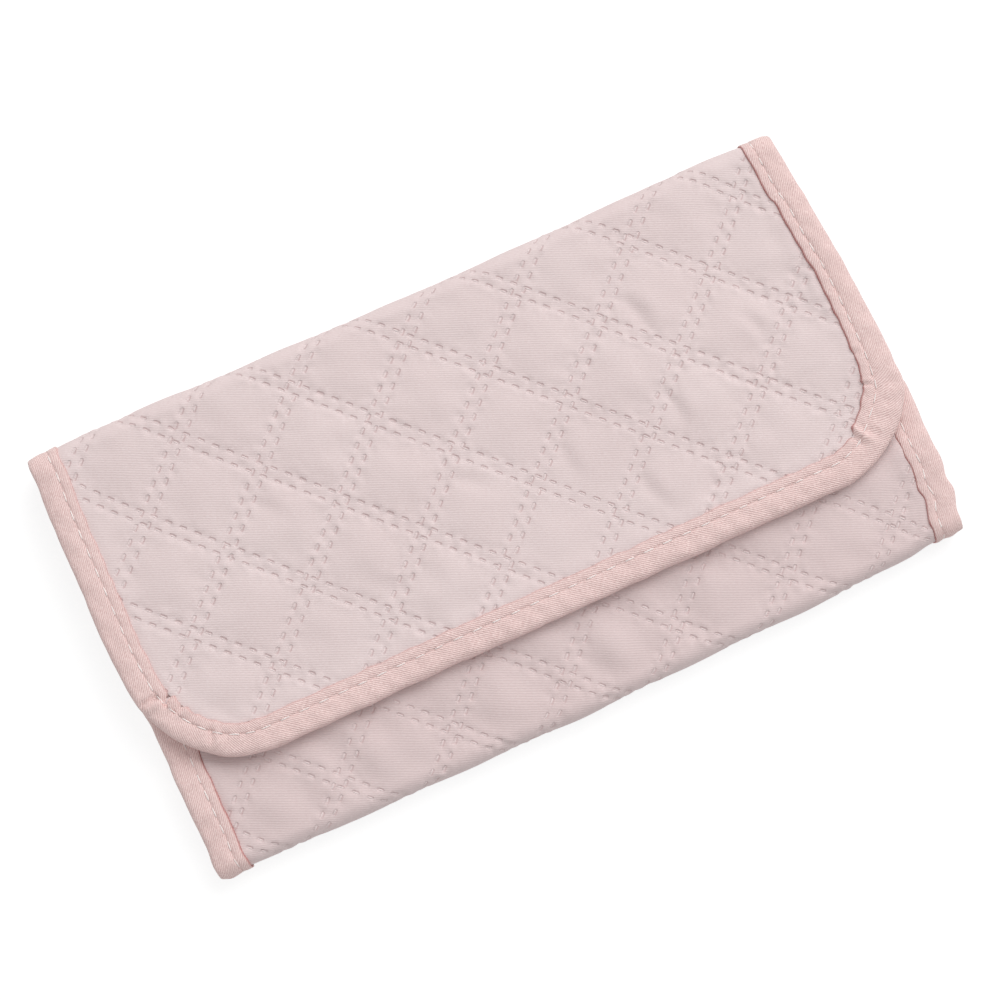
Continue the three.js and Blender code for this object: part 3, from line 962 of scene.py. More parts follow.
class NodeBook:
    """Adds nodes to a tree and links them."""

    def __init__(self, tree: bpy.types.NodeTree) -> None:
        """Keeps the tree."""
        self.tree = tree

    @classmethod
    def on(cls, owner: Material | bpy.types.World) -> "NodeBook":
        """Opens the emptied tree of a material or a world.

        Args:
            owner: Of the tree.

        Returns:
            A book on that tree.
        """
        owner.use_nodes = True
        owner.node_tree.nodes.clear()
        return cls(owner.node_tree)

    def add(self, kind: str, inputs: dict | None = None, **settings: object) -> bpy.types.Node:
        """Adds one node.

        Args:
            kind: Blender's name of the node type.
            inputs: Values, or sockets to link from, by input name or number.
            settings: Properties of the node.

        Returns:
            The new node.
        """
        node = self.tree.nodes.new(kind)
        for name, value in settings.items():
            setattr(node, name, value)
        for name, value in (inputs or {}).items():
            if isinstance(value, Socket):
                self.tree.links.new(value, node.inputs[name])
            else:
                node.inputs[name].default_value = value
        return node

    def out(self, kind: str, inputs: dict | None = None, **settings: object) -> Socket:
        """Adds one node and gives its first output."""
        return self.add(kind, inputs, **settings).outputs[0]

    def math(self, operation: str, *values: object) -> Socket:
        """Adds a maths node and gives its result."""
        return self.out("ShaderNodeMath", dict(enumerate(values)), operation=operation)

    def mix(self, factor: object, first: object, second: object) -> Socket:
        """Adds a colour mix and gives its result."""
        inputs = {0: factor, 6: first, 7: second}
        return self.add("ShaderNodeMix", inputs, data_type="RGBA").outputs[2]

    def noise(
        self, vector: Socket, scale: object, detail: float, rough: float = 0.5, size: str = "3D"
    ) -> Socket:
        """Adds a noise texture of some dimensions and gives its value."""
        inputs = {"Vector": vector, "Scale": scale, "Detail": detail, "Roughness": rough}
        return self.out("ShaderNodeTexNoise", inputs, noise_dimensions=size)


class GroupBook:
    """Shader node groups that several finishes share."""

    def __init__(self) -> None:
        """Builds each group once."""
        self.twill = self._twill()
        self.unevenness = self._unevenness()

    @staticmethod
    def _new(name: str, inputs: dict[str, float], outputs: Sequence[str]) -> NodeBook:
        """Makes an empty group that takes a vector and some numbers.

        Args:
            name: Of the group.
            inputs: Starting value of each number.
            outputs: Names of the numbers that it gives.

        Returns:
            A book on the group's tree.
        """
        tree = bpy.data.node_groups.new(name, "ShaderNodeTree")
        tree.interface.new_socket("Vector", in_out="INPUT", socket_type="NodeSocketVector")
        for label, value in inputs.items():
            made = tree.interface.new_socket(label, in_out="INPUT", socket_type="NodeSocketFloat")
            made.default_value = value
        for label in outputs:
            tree.interface.new_socket(label, in_out="OUTPUT", socket_type="NodeSocketFloat")
        return NodeBook(tree)

    def _twill(self) -> bpy.types.NodeTree:
        """Fine slanted cords of a twill weave, on coordinates in mm.

        Returns:
            The group's tree.
        """
        numbers = {"Heading": 24.0, "Cord Pitch": 0.7, "Wander": 0.4}
        book = self._new("twill_weave", numbers, ("Height", "Thread"))
        given = book.add("NodeGroupInput").outputs
        heading = {"Vector": given["Vector"], "Angle": book.math("RADIANS", given["Heading"])}
        turned = book.out("ShaderNodeVectorRotate", heading, rotation_type="Z_AXIS")
        across = book.add("ShaderNodeSeparateXYZ", {0: turned}).outputs[1]
        along_cords = {0: turned, 1: (0.22, 0.9, 1.0)}
        squeezed = book.out("ShaderNodeVectorMath", along_cords, operation="MULTIPLY")
        wander = book.noise(squeezed, 0.35, 2.0, size="2D")
        sway = book.math("MULTIPLY", book.math("SUBTRACT", wander, 0.5), given["Wander"])
        count = book.math("DIVIDE", book.math("ADD", across, sway), given["Cord Pitch"])
        wave = book.math("SINE", book.math("MULTIPLY", count, 2.0 * math.pi))
        height = book.math("MULTIPLY_ADD", wave, 0.5, 0.5)
        fibre = book.noise(squeezed, 5.0, 2.0, rough=0.7, size="2D")
        book.add("NodeGroupOutput", {"Height": height, "Thread": fibre})
        return book.tree

    def _unevenness(self) -> bpy.types.NodeTree:
        """Broad soft patches, for dye and sheen that vary over cloth or metal.

        Returns:
            The group's tree.
        """
        book = self._new("broad_unevenness", {"Patch Size": 30.0}, ("Patch", "Speck"))
        given = book.add("NodeGroupInput").outputs
        scale = book.math("DIVIDE", 1.0, given["Patch Size"])
        patch = book.noise(given["Vector"], scale, 2.0)
        speck = book.noise(given["Vector"], book.math("MULTIPLY", scale, 14.0), 3.0)
        book.add("NodeGroupOutput", {"Patch": patch, "Speck": speck})
        return book.tree


def linear(colour: Colour, share: float = 1.0) -> tuple[float, float, float, float]:
    """A screen colour as the linear values that shaders take.

    Args:
        colour: Red, green and blue from 0 to 255.
        share: Of its brightness that is kept.

    Returns:
        Linear red, green, blue and alpha.
    """
    made = []
    for value in colour:
        x = value / 255.0
        made.append(share * (x / 12.92 if x <= 0.04045 else ((x + 0.055) / 1.055) ** 2.4))
    return (*made, 1.0)


@dataclass(frozen=True)
class ClothFinish:
    """A dyed cloth with a twill or satin weave, on a cloth map in mm."""

    name: str
    colour: Colour
    heading: float = 24.0
    cord_pitch: float = 0.7
    cord_height: float = 0.05
    cord_shade: float = 0.05
    cord_strength: float = 0.7
    patch_shade: float = 0.06
    thread_shade: float = 0.06
    thread_height: float = 0.35
    roughness: float = 0.62
    rough_spread: float = 0.16
    sheen: float = 0.25
    sheen_roughness: float = 0.45
    sheen_tint: Colour = (255, 240, 236)
    specular: float = 0.3
    depth_of_dye: float = 1.5
    # Colour of a painted shadow line along a tape's inner edge, where its lifted edge shades the cloth.
    rim: Colour | None = None
    # Colour of the front panel's painted shade, past the bottom fold.
    painted_front_shade: Colour | None = None
    stitch_pits_and_shadows: bool = False
    pit_depth: float = 0.16
    pit_reach: float = 0.72
    pit_core: float = 0.26
    pit_half_length: float = 0.62
    # The next three fields paint a shadow beside each stitch, on the side towards the light, where the
    # pit wall is in shade.
    stitch_shadow_reach: float = 0.56
    stitch_shadow_lean: float = 0.3
    stitch_shadow_colour: Colour = (221, 197, 196)

    def material(self, groups: GroupBook, quilting: Quilting) -> Material:
        """Builds the material.

        Args:
            groups: Shared node groups.
            quilting: Whose rows the stitch pits and their painted shadows follow.

        Returns:
            The new material.
        """
        made = bpy.data.materials.new(self.name)
        book = NodeBook.on(made)
        cloth = book.out("ShaderNodeUVMap", uv_map="cloth")
        cords = {"Vector": cloth, "Heading": self.heading, "Cord Pitch": self.cord_pitch}
        weave = book.add("ShaderNodeGroup", cords, node_tree=groups.twill)
        uneven = book.add("ShaderNodeGroup", {"Vector": cloth}, node_tree=groups.unevenness).outputs
        cord, thread = weave.outputs["Height"], weave.outputs["Thread"]
        height = book.math("MULTIPLY_ADD", thread, self.thread_height, cord)
        woven = {"Strength": self.cord_strength, "Distance": self.cord_height * MM, "Height": height}
        normal = book.out("ShaderNodeBump", woven)
        if self.stitch_pits_and_shadows:
            pit = self._pits(book, quilting, 0.0, self.pit_reach)
            sunk = {"Distance": self.pit_depth * MM, "Height": pit, "Normal": normal}
            normal = book.out("ShaderNodeBump", sunk, invert=True)
        shade = book.math("MULTIPLY_ADD", cord, self.cord_shade, 1.0 - 0.5 * self.cord_shade)
        for value, share in ((uneven["Patch"], self.patch_shade), (thread, self.thread_shade)):
            shade = book.math("MULTIPLY_ADD", book.math("SUBTRACT", value, 0.5), share, shade)
        deep = book.math("POWER", shade, self.depth_of_dye)
        tint = book.out("ShaderNodeCombineXYZ", {0: shade, 1: deep, 2: deep})
        dyed = {0: self._dye_and_painted_shade(book, cloth, quilting), 1: tint}
        smoothest = self.roughness - 0.5 * self.rough_spread
        inputs = {
            "Base Color": book.out("ShaderNodeVectorMath", dyed, operation="MULTIPLY"),
            "Roughness": book.math("MULTIPLY_ADD", uneven["Speck"], self.rough_spread, smoothest),
            "Normal": normal,
            "Specular IOR Level": self.specular,
            "Sheen Weight": self.sheen,
            "Sheen Roughness": self.sheen_roughness,
            "Sheen Tint": linear(self.sheen_tint),
        }
        book.add("ShaderNodeOutputMaterial", {"Surface": book.out("ShaderNodeBsdfPrincipled", inputs)})
        return made

    def _dye_and_painted_shade(self, book: NodeBook, cloth: Socket, quilting: Quilting) -> object:
        """The dye before the weave shades it, with the painted shades mixed in.

        Args:
            book: Of the material.
            cloth: The cloth map.
            quilting: Whose stitches get a painted shadow beside them, and whose sheet bounds the front's
                painted shade.

        Returns:
            A colour, or the socket that gives it.
        """
        dye: object = linear(self.colour)[:3]
        # Painted shade: past the bottom fold the front panel is dyed darker and redder, as the light
        # falls on it less.
        if self.painted_front_shade:
            turned = self._past_fold(book, cloth, quilting.sheet)
            dye = book.mix(turned, linear(self.colour), linear(self.painted_front_shade))
        # Painted shadow: a dark red line along the tape's inner edge, laid out by its own map.
        if self.rim:
            edge = book.out("ShaderNodeSeparateXYZ", {0: book.out("ShaderNodeUVMap", uv_map="rim")})
            dye = book.mix(edge, linear(self.colour), linear(self.rim))
        # Painted shadow beside each stitch, leaning to one side of it.
        if self.stitch_pits_and_shadows:
            stitch_shadow = self._pits(book, quilting, self.stitch_shadow_lean, self.stitch_shadow_reach)
            dye = book.mix(stitch_shadow, dye, linear(self.stitch_shadow_colour))
        return dye

    @staticmethod
    def _past_fold(book: NodeBook, cloth: Socket, sheet: FoldedSheet) -> Socket:
        """From 0 to 1 past the bottom fold, where the front panel's painted shade comes in.

        Args:
            book: Of the material.
            cloth: The cloth map.
            sheet: The folded sheet.

        Returns:
            The share.
        """
        along = book.add("ShaderNodeSeparateXYZ", {0: cloth}).outputs[1]
        reach = {"Value": along, "From Min": sheet.bottom_start, "From Max": sheet.front_start}
        return book.out("ShaderNodeMapRange", reach, interpolation_type="SMOOTHSTEP")

    def _pits(self, book: NodeBook, quilting: Quilting, lean: float, reach: float) -> Socket:
        """How far points lie within a mask round each quilting stitch, from 0 to 1: its pit, or its
        painted shadow.

        Args:
            book: Of the material.
            quilting: Whose stitches pull.
            lean: How far the mask lies to one side of the stitches, in mm; the painted shadow leans, the
                pits don't.
            reach: How far they spread round the stitches, in mm.

        Returns:
            The share.
        """
        counts = book.out("ShaderNodeUVMap", uv_map="rows")
        parts = book.add("ShaderNodeSeparateXYZ", {0: counts}).outputs
        pits = []
        for k in range(2):
            middle = book.math("SUBTRACT", parts[k], book.math("ROUND", parts[k]))
            side = book.math("SIGN", middle)
            away = book.math("ABSOLUTE", middle)
            off = book.math("MULTIPLY_ADD", away, quilting.pitch, -0.5 * quilting.pair_gap)
            off = book.math("MULTIPLY_ADD", side, -lean, off)
            count = book.math("MULTIPLY", parts[1 - k], quilting.per_pair)
            count = book.math("MULTIPLY_ADD", side, -quilting.stitch_stagger, count)
            step = book.math("ABSOLUTE", book.math("SUBTRACT", count, book.math("ROUND", count)))
            along = book.math("MULTIPLY_ADD", step, quilting.stitch_pitch, -self.pit_half_length)
            along = book.math("MAXIMUM", along, 0.0)
            square = book.math("MULTIPLY", along, along)
            away = book.math("SQRT", book.math("MULTIPLY_ADD", off, off, square))
            spread = {"Value": away, "From Min": reach, "From Max": self.pit_core}
            pits.append(book.out("ShaderNodeMapRange", spread, interpolation_type="SMOOTHSTEP"))
        return book.math("MAXIMUM", *pits)


@dataclass(frozen=True)
class HardFinish:
    """Thread, moulded plastic or plated metal, lightly mottled, on object coordinates."""

    name: str
    colour: Colour
    roughness: float = 0.5
    sheen: float = 0.0
    metallic: float = 0.0
    patch_size: float = 4.0
    darker: float = 0.87
    rough_spread: float = 0.2
    grain: float = 0.03
    grain_strength: float = 0.25

    def material(self, groups: GroupBook) -> Material:
        """Builds the material.

        Args:
            groups: Shared node groups.

        Returns:
            The new material.
        """
        made = bpy.data.materials.new(self.name)
        book = NodeBook.on(made)
        place = book.add("ShaderNodeTexCoord").outputs["Object"]
        in_mm = book.out("ShaderNodeVectorMath", {0: place, "Scale": 1.0 / MM}, operation="SCALE")
        given = {"Vector": in_mm, "Patch Size": self.patch_size}
        uneven = book.add("ShaderNodeGroup", given, node_tree=groups.unevenness).outputs
        speck = uneven["Speck"]
        grain = {"Height": speck, "Strength": self.grain_strength, "Distance": self.grain * MM}
        smoothest = self.roughness - 0.5 * self.rough_spread
        colours = (linear(self.colour, self.darker), linear(self.colour))
        inputs = {
            "Base Color": book.mix(uneven["Patch"], *colours),
            "Roughness": book.math("MULTIPLY_ADD", speck, self.rough_spread, smoothest),
            "Normal": book.out("ShaderNodeBump", grain),
            "Metallic": self.metallic,
            "Sheen Weight": self.sheen,
        }
        book.add("ShaderNodeOutputMaterial", {"Surface": book.out("ShaderNodeBsdfPrincipled", inputs)})
        return made


class Finishes:
    """All finishes of the roll as materials."""

    def __init__(self, quilting: Quilting) -> None:
        """Builds each material once.

        Args:
            quilting: Whose rows the cover's stitch pits and their painted shadows follow.
        """
        groups = GroupBook()
        cover = ClothFinish(
            "blush_quilted_cloth",
            (228, 210, 209),
            thread_shade=0.2,
            stitch_pits_and_shadows=True,
            # Painted shade on the front panel.
            painted_front_shade=(223, 203, 202),
        )
        binding = ClothFinish(
            "rose_bias_tape",
            (237, 207, 203),
            heading=-38.0,
            cord_pitch=0.6,
            cord_height=0.14,
            cord_shade=0.2,
            thread_shade=0.6,
            sheen=0.35,
            # Painted shadow line along the tape's inner edge.
            rim=(184, 110, 106),
        )
        lining = ClothFinish(
            "pale_satin_lining", (233, 214, 210), cord_pitch=0.4, cord_height=0.02, roughness=0.5
        )
        pocket = ClothFinish("rose_pocket_cloth", (227, 203, 199), heading=45.0, cord_pitch=0.55)
        tape = ClothFinish(
            "woven_zip_tape", (220, 189, 184), heading=0.0, cord_pitch=0.5, cord_height=0.08
        )
        patch = ClothFinish("brushed_closure", (223, 200, 197), cord_pitch=0.9, roughness=0.9, sheen=0.6)
        cloths = (cover, binding, lining, pocket, tape, patch)
        made = [cloth.material(groups, quilting) for cloth in cloths]
        self.cover, self.binding, self.lining, self.pocket, self.tape, self.patch = made
        self.quilt_thread = HardFinish("quilting_thread", (236, 220, 219), 0.6, 0.2).material(groups)
        self.edge_thread = HardFinish("edge_thread", (253, 241, 238), 0.55, 0.3).material(groups)
        self.plastic = HardFinish("moulded_teeth", (229, 204, 198), 0.38).material(groups)
        self.metal = HardFinish("rose_gold_plate", (226, 186, 166), 0.26, metallic=1.0).material(groups)


class Repeat(str, Enum):
    """Small shapes that are laid many times."""

    THREAD = "thread"
    TOOTH = "tooth"
    HOOK = "hook"


class RepeatTree:
    """A Geometry Nodes tree that lays a small shape at each point, along the point's heading."""

    def __init__(self, shape: Repeat) -> None:
        """Builds the tree.

        Args:
            shape: That it lays.
        """
        self.tree = bpy.data.node_groups.new(f"lay_{shape.value}", "GeometryNodeTree")
        face = self.tree.interface
        face.new_socket("Geometry", in_out="INPUT", socket_type="NodeSocketGeometry")
        self.inputs: dict[str, str] = {}
        for label, kind in (("Size", "NodeSocketVector"), ("Material", "NodeSocketMaterial")):
            made = face.new_socket(label, in_out="INPUT", socket_type=kind)
            self.inputs[label] = made.identifier
        face.new_socket("Geometry", in_out="OUTPUT", socket_type="NodeSocketGeometry")
        book = NodeBook(self.tree)
        given = book.add("NodeGroupInput").outputs
        sized = {"Geometry": self._shape(book, shape), "Scale": given["Size"]}
        named = {"Name": "heading"}
        heading = book.out("GeometryNodeInputNamedAttribute", named, data_type="FLOAT_VECTOR")
        uneven = {"Min": (0.88, 0.9, 0.9), "Max": (1.12, 1.1, 1.1), "Seed": 7}
        laying = {
            "Points": given["Geometry"],
            "Instance": book.out("GeometryNodeTransform", sized),
            "Rotation": book.out("FunctionNodeAlignRotationToVector", {"Vector": heading}, axis="X"),
            "Scale": book.out("FunctionNodeRandomValue", uneven, data_type="FLOAT_VECTOR"),
        }
        laid = book.out("GeometryNodeInstanceOnPoints", laying)
        real = book.out("GeometryNodeRealizeInstances", {0: laid})
        rounded = book.out("GeometryNodeSetShadeSmooth", {0: real})
        dyed = {"Geometry": rounded, "Material": given["Material"]}
        book.add("NodeGroupOutput", {0: book.out("GeometryNodeSetMaterial", dyed)})

    @staticmethod
    def _shape(book: NodeBook, shape: Repeat) -> Socket:
        """Adds the shape itself, one unit across.

        Args:
            book: Of the tree.
            shape: Which one.

        Returns:
            Its mesh.
        """
        if shape is Repeat.THREAD:
            return book.out("GeometryNodeMeshUVSphere", {"Segments": 8, "Rings": 6, "Radius": 0.5})
        if shape is Repeat.HOOK:
            cone = {"Vertices": 6, "Radius Top": 0.5, "Radius Bottom": 0.2, "Depth": 1.0}
            return book.out("GeometryNodeMeshCone", cone)
        rounding = {"Mesh": book.out("GeometryNodeMeshCube"), "Level": 1, "Edge Crease": 0.55}
        return book.out("GeometryNodeSubdivisionSurface", rounding)

    def lay(
        self,
        name: str,
        places: Sequence[Points],
        headings: Sequence[Points],
        size: Triple,
        material: Material,
    ) -> Piece:
        """Lays rows of shapes as one plain mesh.

        Args:
            name: Of the piece.
            places: Middles of the shapes in mm, row by row.
            headings: Direction of each shape, row by row.
            size: Along the heading, across it and upwards, in mm.
            material: Of the shapes.

        Returns:
            The new object.
        """
        made = add_mesh(name, np.concatenate(places), [], closed=False)
        attribute = made.data.attributes.new("heading", "FLOAT_VECTOR", "POINT")
        attribute.data.foreach_set("vector", np.concatenate(headings).astype(np.float32).ravel())
        modifier = made.modifiers.new("repeats", "NODES")
        modifier.node_group = self.tree
        modifier[self.inputs["Size"]] = [side * MM for side in size]
        modifier[self.inputs["Material"]] = material
        apply_modifiers(made)
        return made


@dataclass(frozen=True)
class Run:
    """A stretch of the sheet across one fold joint."""

    name: str
    start: float
    end: float
    bodies: tuple[Body, Body]
    bend: tuple[Triple, Triple]
    stems: tuple[str, ...]

    def carry(self, piece: Piece) -> None:
        """Bakes a piece's place into its mesh; it does not join the piece to the run's bodies.

        Args:
            piece: To bake.
        """
        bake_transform(piece)

    def nodes(self, kind: str) -> tuple[str, ...]:
        """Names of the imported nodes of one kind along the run."""
        return tuple(f"{stem}_{kind}" for stem in self.stems)


def fold_runs(sheet: FoldedSheet, top_bend: float = 3.5, bottom_bend: float = 1.1) -> list[Run]:
    """The four stretches of the sheet, from the flap to the front.

    Args:
        sheet: The folded sheet.
        top_bend: How far from the top fold's edges each run's bend points lie.
        bottom_bend: How far from the bottom fold's edges each run's bend points lie.

    Returns:
        The runs in order along the sheet.
    """
    y, top, front = sheet.depth / 2, sheet.flap_rise, sheet.front_rise
    a, b = top_bend, bottom_bend
    stops = (0.0, sheet.top_middle, sheet.back_middle, sheet.bottom_middle, sheet.length)
    plans = (
        ("flap", (Body.TOP_FOLD, Body.FLAP), ((0, y, top - a), (0, y - a, top)), ("flap",)),
        ("back_upper", (Body.BACK, Body.TOP_FOLD), ((0, y - a, 0), (0, y, a)), ("back", "top_fold")),
        ("back_lower", (Body.BACK, Body.BOTTOM_FOLD), ((0, b - y, 0), (0, -y, b)), ("bottom_fold",)),
        ("front", (Body.BOTTOM_FOLD, Body.FRONT), ((0, -y, front - b), (0, b - y, front)), ("front",)),
    )
    return [Run(name, *stops[k : k + 2], *rest) for k, (name, *rest) in enumerate(plans)]


@dataclass
class QuiltedCover:
    """The quilted outer cloth with its wadding, and its stitches."""

    sheet: FoldedSheet
    padding: Padding
    quilting: Quilting
    stitches: RepeatTree
    finishes: Finishes
    inset: float = 2.6
    step: float = 0.62
    back_step: float = 0.85
    visible_inset: float = 8.6
    thread: Triple = (2.0, 0.46, 0.46)
    thread_sink: float = 0.115

    def build(self, runs: list[Run]) -> None:
        """Makes the covers and their stitches, one for each run.

        Args:
            runs: Stretches of the sheet.
        """
        u, t, heading = self.quilting.needle_points()
        shown = np.abs(u) < self.sheet.half_width(t, self.visible_inset)
        shown &= (t > self.visible_inset) & (t < self.sheet.length - self.visible_inset)
        for run in runs:
            cover = self._cover(run)
            dress(cover, run.carry, run.nodes("quilt"), self.finishes.cover)
            inside = shown & (t > run.start) & (t <= run.end)
            dress(self._thread(run, u[inside], t[inside], heading[inside]), run.carry)

    def _cover(self, run: Run) -> Piece:
        """The padded cloth of one run.

        Args:
            run: The stretch of the sheet.

        Returns:
            The new object.
        """
        start = max(run.start, self.inset)
        end = min(run.end, self.sheet.length - self.inset)
        step = self.back_step if run.name.startswith("back") else self.step
        line = with_close_ends(np.linspace(start, end, int(round((end - start) / step)) + 1))
        half = self.sheet.half_width(line, self.inset)
        columns = int(round((self.sheet.width - 2 * self.inset) / self.step)) + 1
        depth, behind = self.padding.grooved_depth, self.padding.thickness
        return slab(f"cover_{run.name}", self.sheet, line, half, columns, depth, behind, self.quilting)

    def _thread(self, run: Run, u: Points, t: Points, heading: Points) -> Piece:
        """The quilting stitches of one run.

        Args:
            run: The stretch of the sheet.
            u: Places of the stitches along the folds.
            t: Their places along the sheet.
            heading: Their headings as (du, dt).

        Returns:
            The new object.
        """
        ends = []
        for way in (-0.5, 0.0, 0.5):
            at_u = u + way * self.thread[0] * heading[:, 0]
            at_t = t + way * self.thread[0] * heading[:, 1]
            depth = self.padding.grooved_depth(at_u, at_t) + self.thread_sink
            ends.append(self.sheet.place(at_u, at_t, depth))
        name = f"quilting_{run.name}"
        before, places, after = ends
        dye = self.finishes.quilt_thread
        return self.stitches.lay(name, [places], [after - before], self.thread, dye)


@dataclass
class Lining:
    """The smooth inner cloth."""

    sheet: FoldedSheet
    finishes: Finishes
    inset: float = 2.6
    step: float = 1.6
    outer: float = 2.85
    inner: float = 3.25
    wrinkle: float = 0.1
    most: float = 1.5

    def build(self, runs: list[Run]) -> None:
        """Makes the lining of each run.

        Args:
            runs: Stretches of the sheet.
        """
        ripple = Ripple(seed=11, shortest=14.0, longest=60.0)

        def depth(u: Points, t: Points) -> Points:
            """Depth of the lining's shown face."""
            return self.inner + self.wrinkle * np.clip(ripple.at(u, t), -self.most, self.most)

        columns = int(round(self.sheet.width / self.step)) + 1
        for run in runs:
            start = max(run.start, self.inset)
            end = min(run.end, self.sheet.length - self.inset)
            line = with_close_ends(np.linspace(start, end, int(round(2 * (end - start) / self.step)) + 1))
            half = self.sheet.half_width(line, self.inset)
            made = slab(f"lining_{run.name}", self.sheet, line, half, columns, depth, self.outer)
            dress(made, run.carry, run.nodes("lining"), self.finishes.lining)


@dataclass(frozen=True)
class Pucker:
    """A small fold across the flap's edging, on the left (-1) or right (1) side."""

    side: int
    down: float
    width: float
    height: float
    inner: float
    outer: float
    slant: float


@dataclass
class Edging:
    """The bias tape folded over the sheet's edges, with its row of topstitching.

    The profile's points are (inset from the sheet's edge, depth below its outer face).
    """

    sheet: FoldedSheet
    stitches: RepeatTree
    finishes: Finishes
    thickness: float = 4.1
    seam: float = 6.5
    step: float = 0.8
    flap_pitch: float = 6.0
    side_pitch: float = 5.2
    thread: Triple = (3.4, 0.48, 0.48)
    thread_lift: float = 0.2
    squeeze: float = 0.5
    seam_sink: float = 0.12
    slant_wave: float = 0.08
    inner_wave: float = 0.06
    ripple_height: float = 0.11
    edge_wave: float = 0.12
    # Strength of the painted shadow line at the first profile points, along the tape's inner edge.
    lip: tuple[float, ...] = (1.0, 1.0, 1.0, 0.8)
    wider: tuple[Pair, ...] = (
        *((20, -0.4), (55, 0.0), (72, 0.8), (82, 1.6), (86, 1.9)),
        *((92, 2.6), (99, 2.6), (105, 1.9), (110, 0.8), (122, 0.0)),
    )
    face: tuple[Pair, ...] = (
        *((9.3, 1.3), (9.55, 0.85), (9.58, 0.5), (9.46, 0.22), (9.0, 0.04), (8.0, -0.04), (7.3, 0.0)),
        *((6.95, 0.06), (6.7, 0.24), (6.5, 0.36), (6.3, 0.24), (6.0, 0.06), (5.4, -0.04)),
        *((4.4, -0.12), (3.2, -0.14), (2.2, -0.06), (1.4, 0.12), (0.75, 0.45), (0.3, 0.9), (0.06, 1.45)),
    )
    hidden: tuple[Pair, ...] = ((0.75, 2.05), (1.3, 1.35), (2.6, 0.85), (5.0, 0.8), (7.5, 0.95))
    puckers: tuple[Pucker, ...] = (
        Pucker(-1, 80.0, 1.1, 1.1, 0.5, 7.0, 0.1),
        Pucker(-1, 83.5, 1.1, 1.0, 5.5, 10.5, -0.5),
        Pucker(-1, 88.0, 1.0, 0.7, 5.5, 10.5, 0.3),
        Pucker(-1, 94.0, 0.9, 0.4, 6.0, 10.0, 0.2),
        Pucker(-1, 103.0, 1.0, 0.45, 2.5, 8.0, -0.2),
        Pucker(1, 86.0, 0.8, 0.5, 6.5, 10.5, 0.2),
        Pucker(1, 109.5, 1.3, 0.7, 5.0, 10.5, 0.2),
        Pucker(1, 106.5, 1.2, -0.5, 3.5, 8.0, 0.0),
        Pucker(1, 72.0, 0.8, 0.4, 7.0, 10.0, 0.0),
    )

    def __post_init__(self) -> None:
        """Closes the tape's profile: outer face, edge, inner face and the hidden inside."""
        inner = [(w, self.thickness - d) for w, d in reversed(self.face)]
        deep = [(w, self.thickness - d) for w, d in reversed(self.hidden[1:])]
        edge = (0.0, self.thickness / 2)
        self.profile = np.array([*self.face, edge, *inner, *deep, *self.hidden])
        self.faced = len(self.face) * 2 + 1
        ahead = np.roll(self.profile, -1, axis=0) - np.roll(self.profile, 1, axis=0)
        ahead /= np.linalg.norm(ahead, axis=1, keepdims=True)
        self.normal = np.stack([ahead[:, 1], -ahead[:, 0]], axis=1)
        self.normal[self.faced :] = 0.0
        self.around = lengths_along(self.profile)
        self.past = 0.0
        self.ripple = Ripple(seed=23, shortest=4.5, longest=16.0, count=20)
        self.wave = Ripple(seed=29, shortest=14.0, longest=50.0)

    def _round_end(self, stop: float, edge: float, sign: float, corner: float) -> list[Pair]:
        """A U round a free end, from the left fold to the right fold.

        Args:
            stop: Place along the sheet where both sides end.
            edge: Place along the sheet of the free edge.
            sign: Direction from the free edge into the sheet, 1 or -1.
            corner: Radius of the corners.

        Returns:
            Corner points of the line in (u, t).
        """
        half = self.sheet.width / 2
        power = 2.0 / self.sheet.corner_power
        angles = np.linspace(0.0, math.pi / 2, 40)
        dx = corner * (1 - np.cos(angles) ** power)
        dt = corner * (1 - np.sin(angles) ** power)
        left = [(-half + x, edge + sign * y) for x, y in zip(dx, dt)]
        right = [(-u, t) for u, t in reversed(left)]
        return [(-half, stop), *left, *right, (half, stop)]

    def build(self, runs: list[Run]) -> None:
        """Makes the edging of each run with its topstitching.

        Args:
            runs: Stretches of the sheet.
        """
        sheet = self.sheet
        flap, upper, lower, front = runs
        flap_line = self._round_end(flap.end, 0.0, 1.0, sheet.flap_corner)
        front_line = self._round_end(front.start, sheet.length, -1.0, sheet.front_corner)
        self.past = float(lengths_along(np.array(flap_line))[-1]) - 2 * flap.end
        self._tape("edging_flap", flap, flap_line, -flap.end, flap.nodes("binding"))
        first = front.start + self.past
        self._tape("edging_front", front, front_line[::-1], first, front.nodes("binding"))
        half = sheet.width / 2
        for run in (upper, lower):
            left, right = ([(u, run.start), (u, run.end)] for u in (-half, half))
            name = f"edging_{run.name}"
            self._tape(f"{name}_left", run, left[::-1], -run.end, run.nodes("binding_left"))
            first = run.start + self.past
            self._tape(f"{name}_right", run, right, first, run.nodes("binding_right"))

    def _running(self, side: int, down: float) -> float:
        """Running distance round the sheet of a place on the flap's left or right side."""
        t = self.sheet.flap_reach - down
        return -t if side < 0 else self.past + t

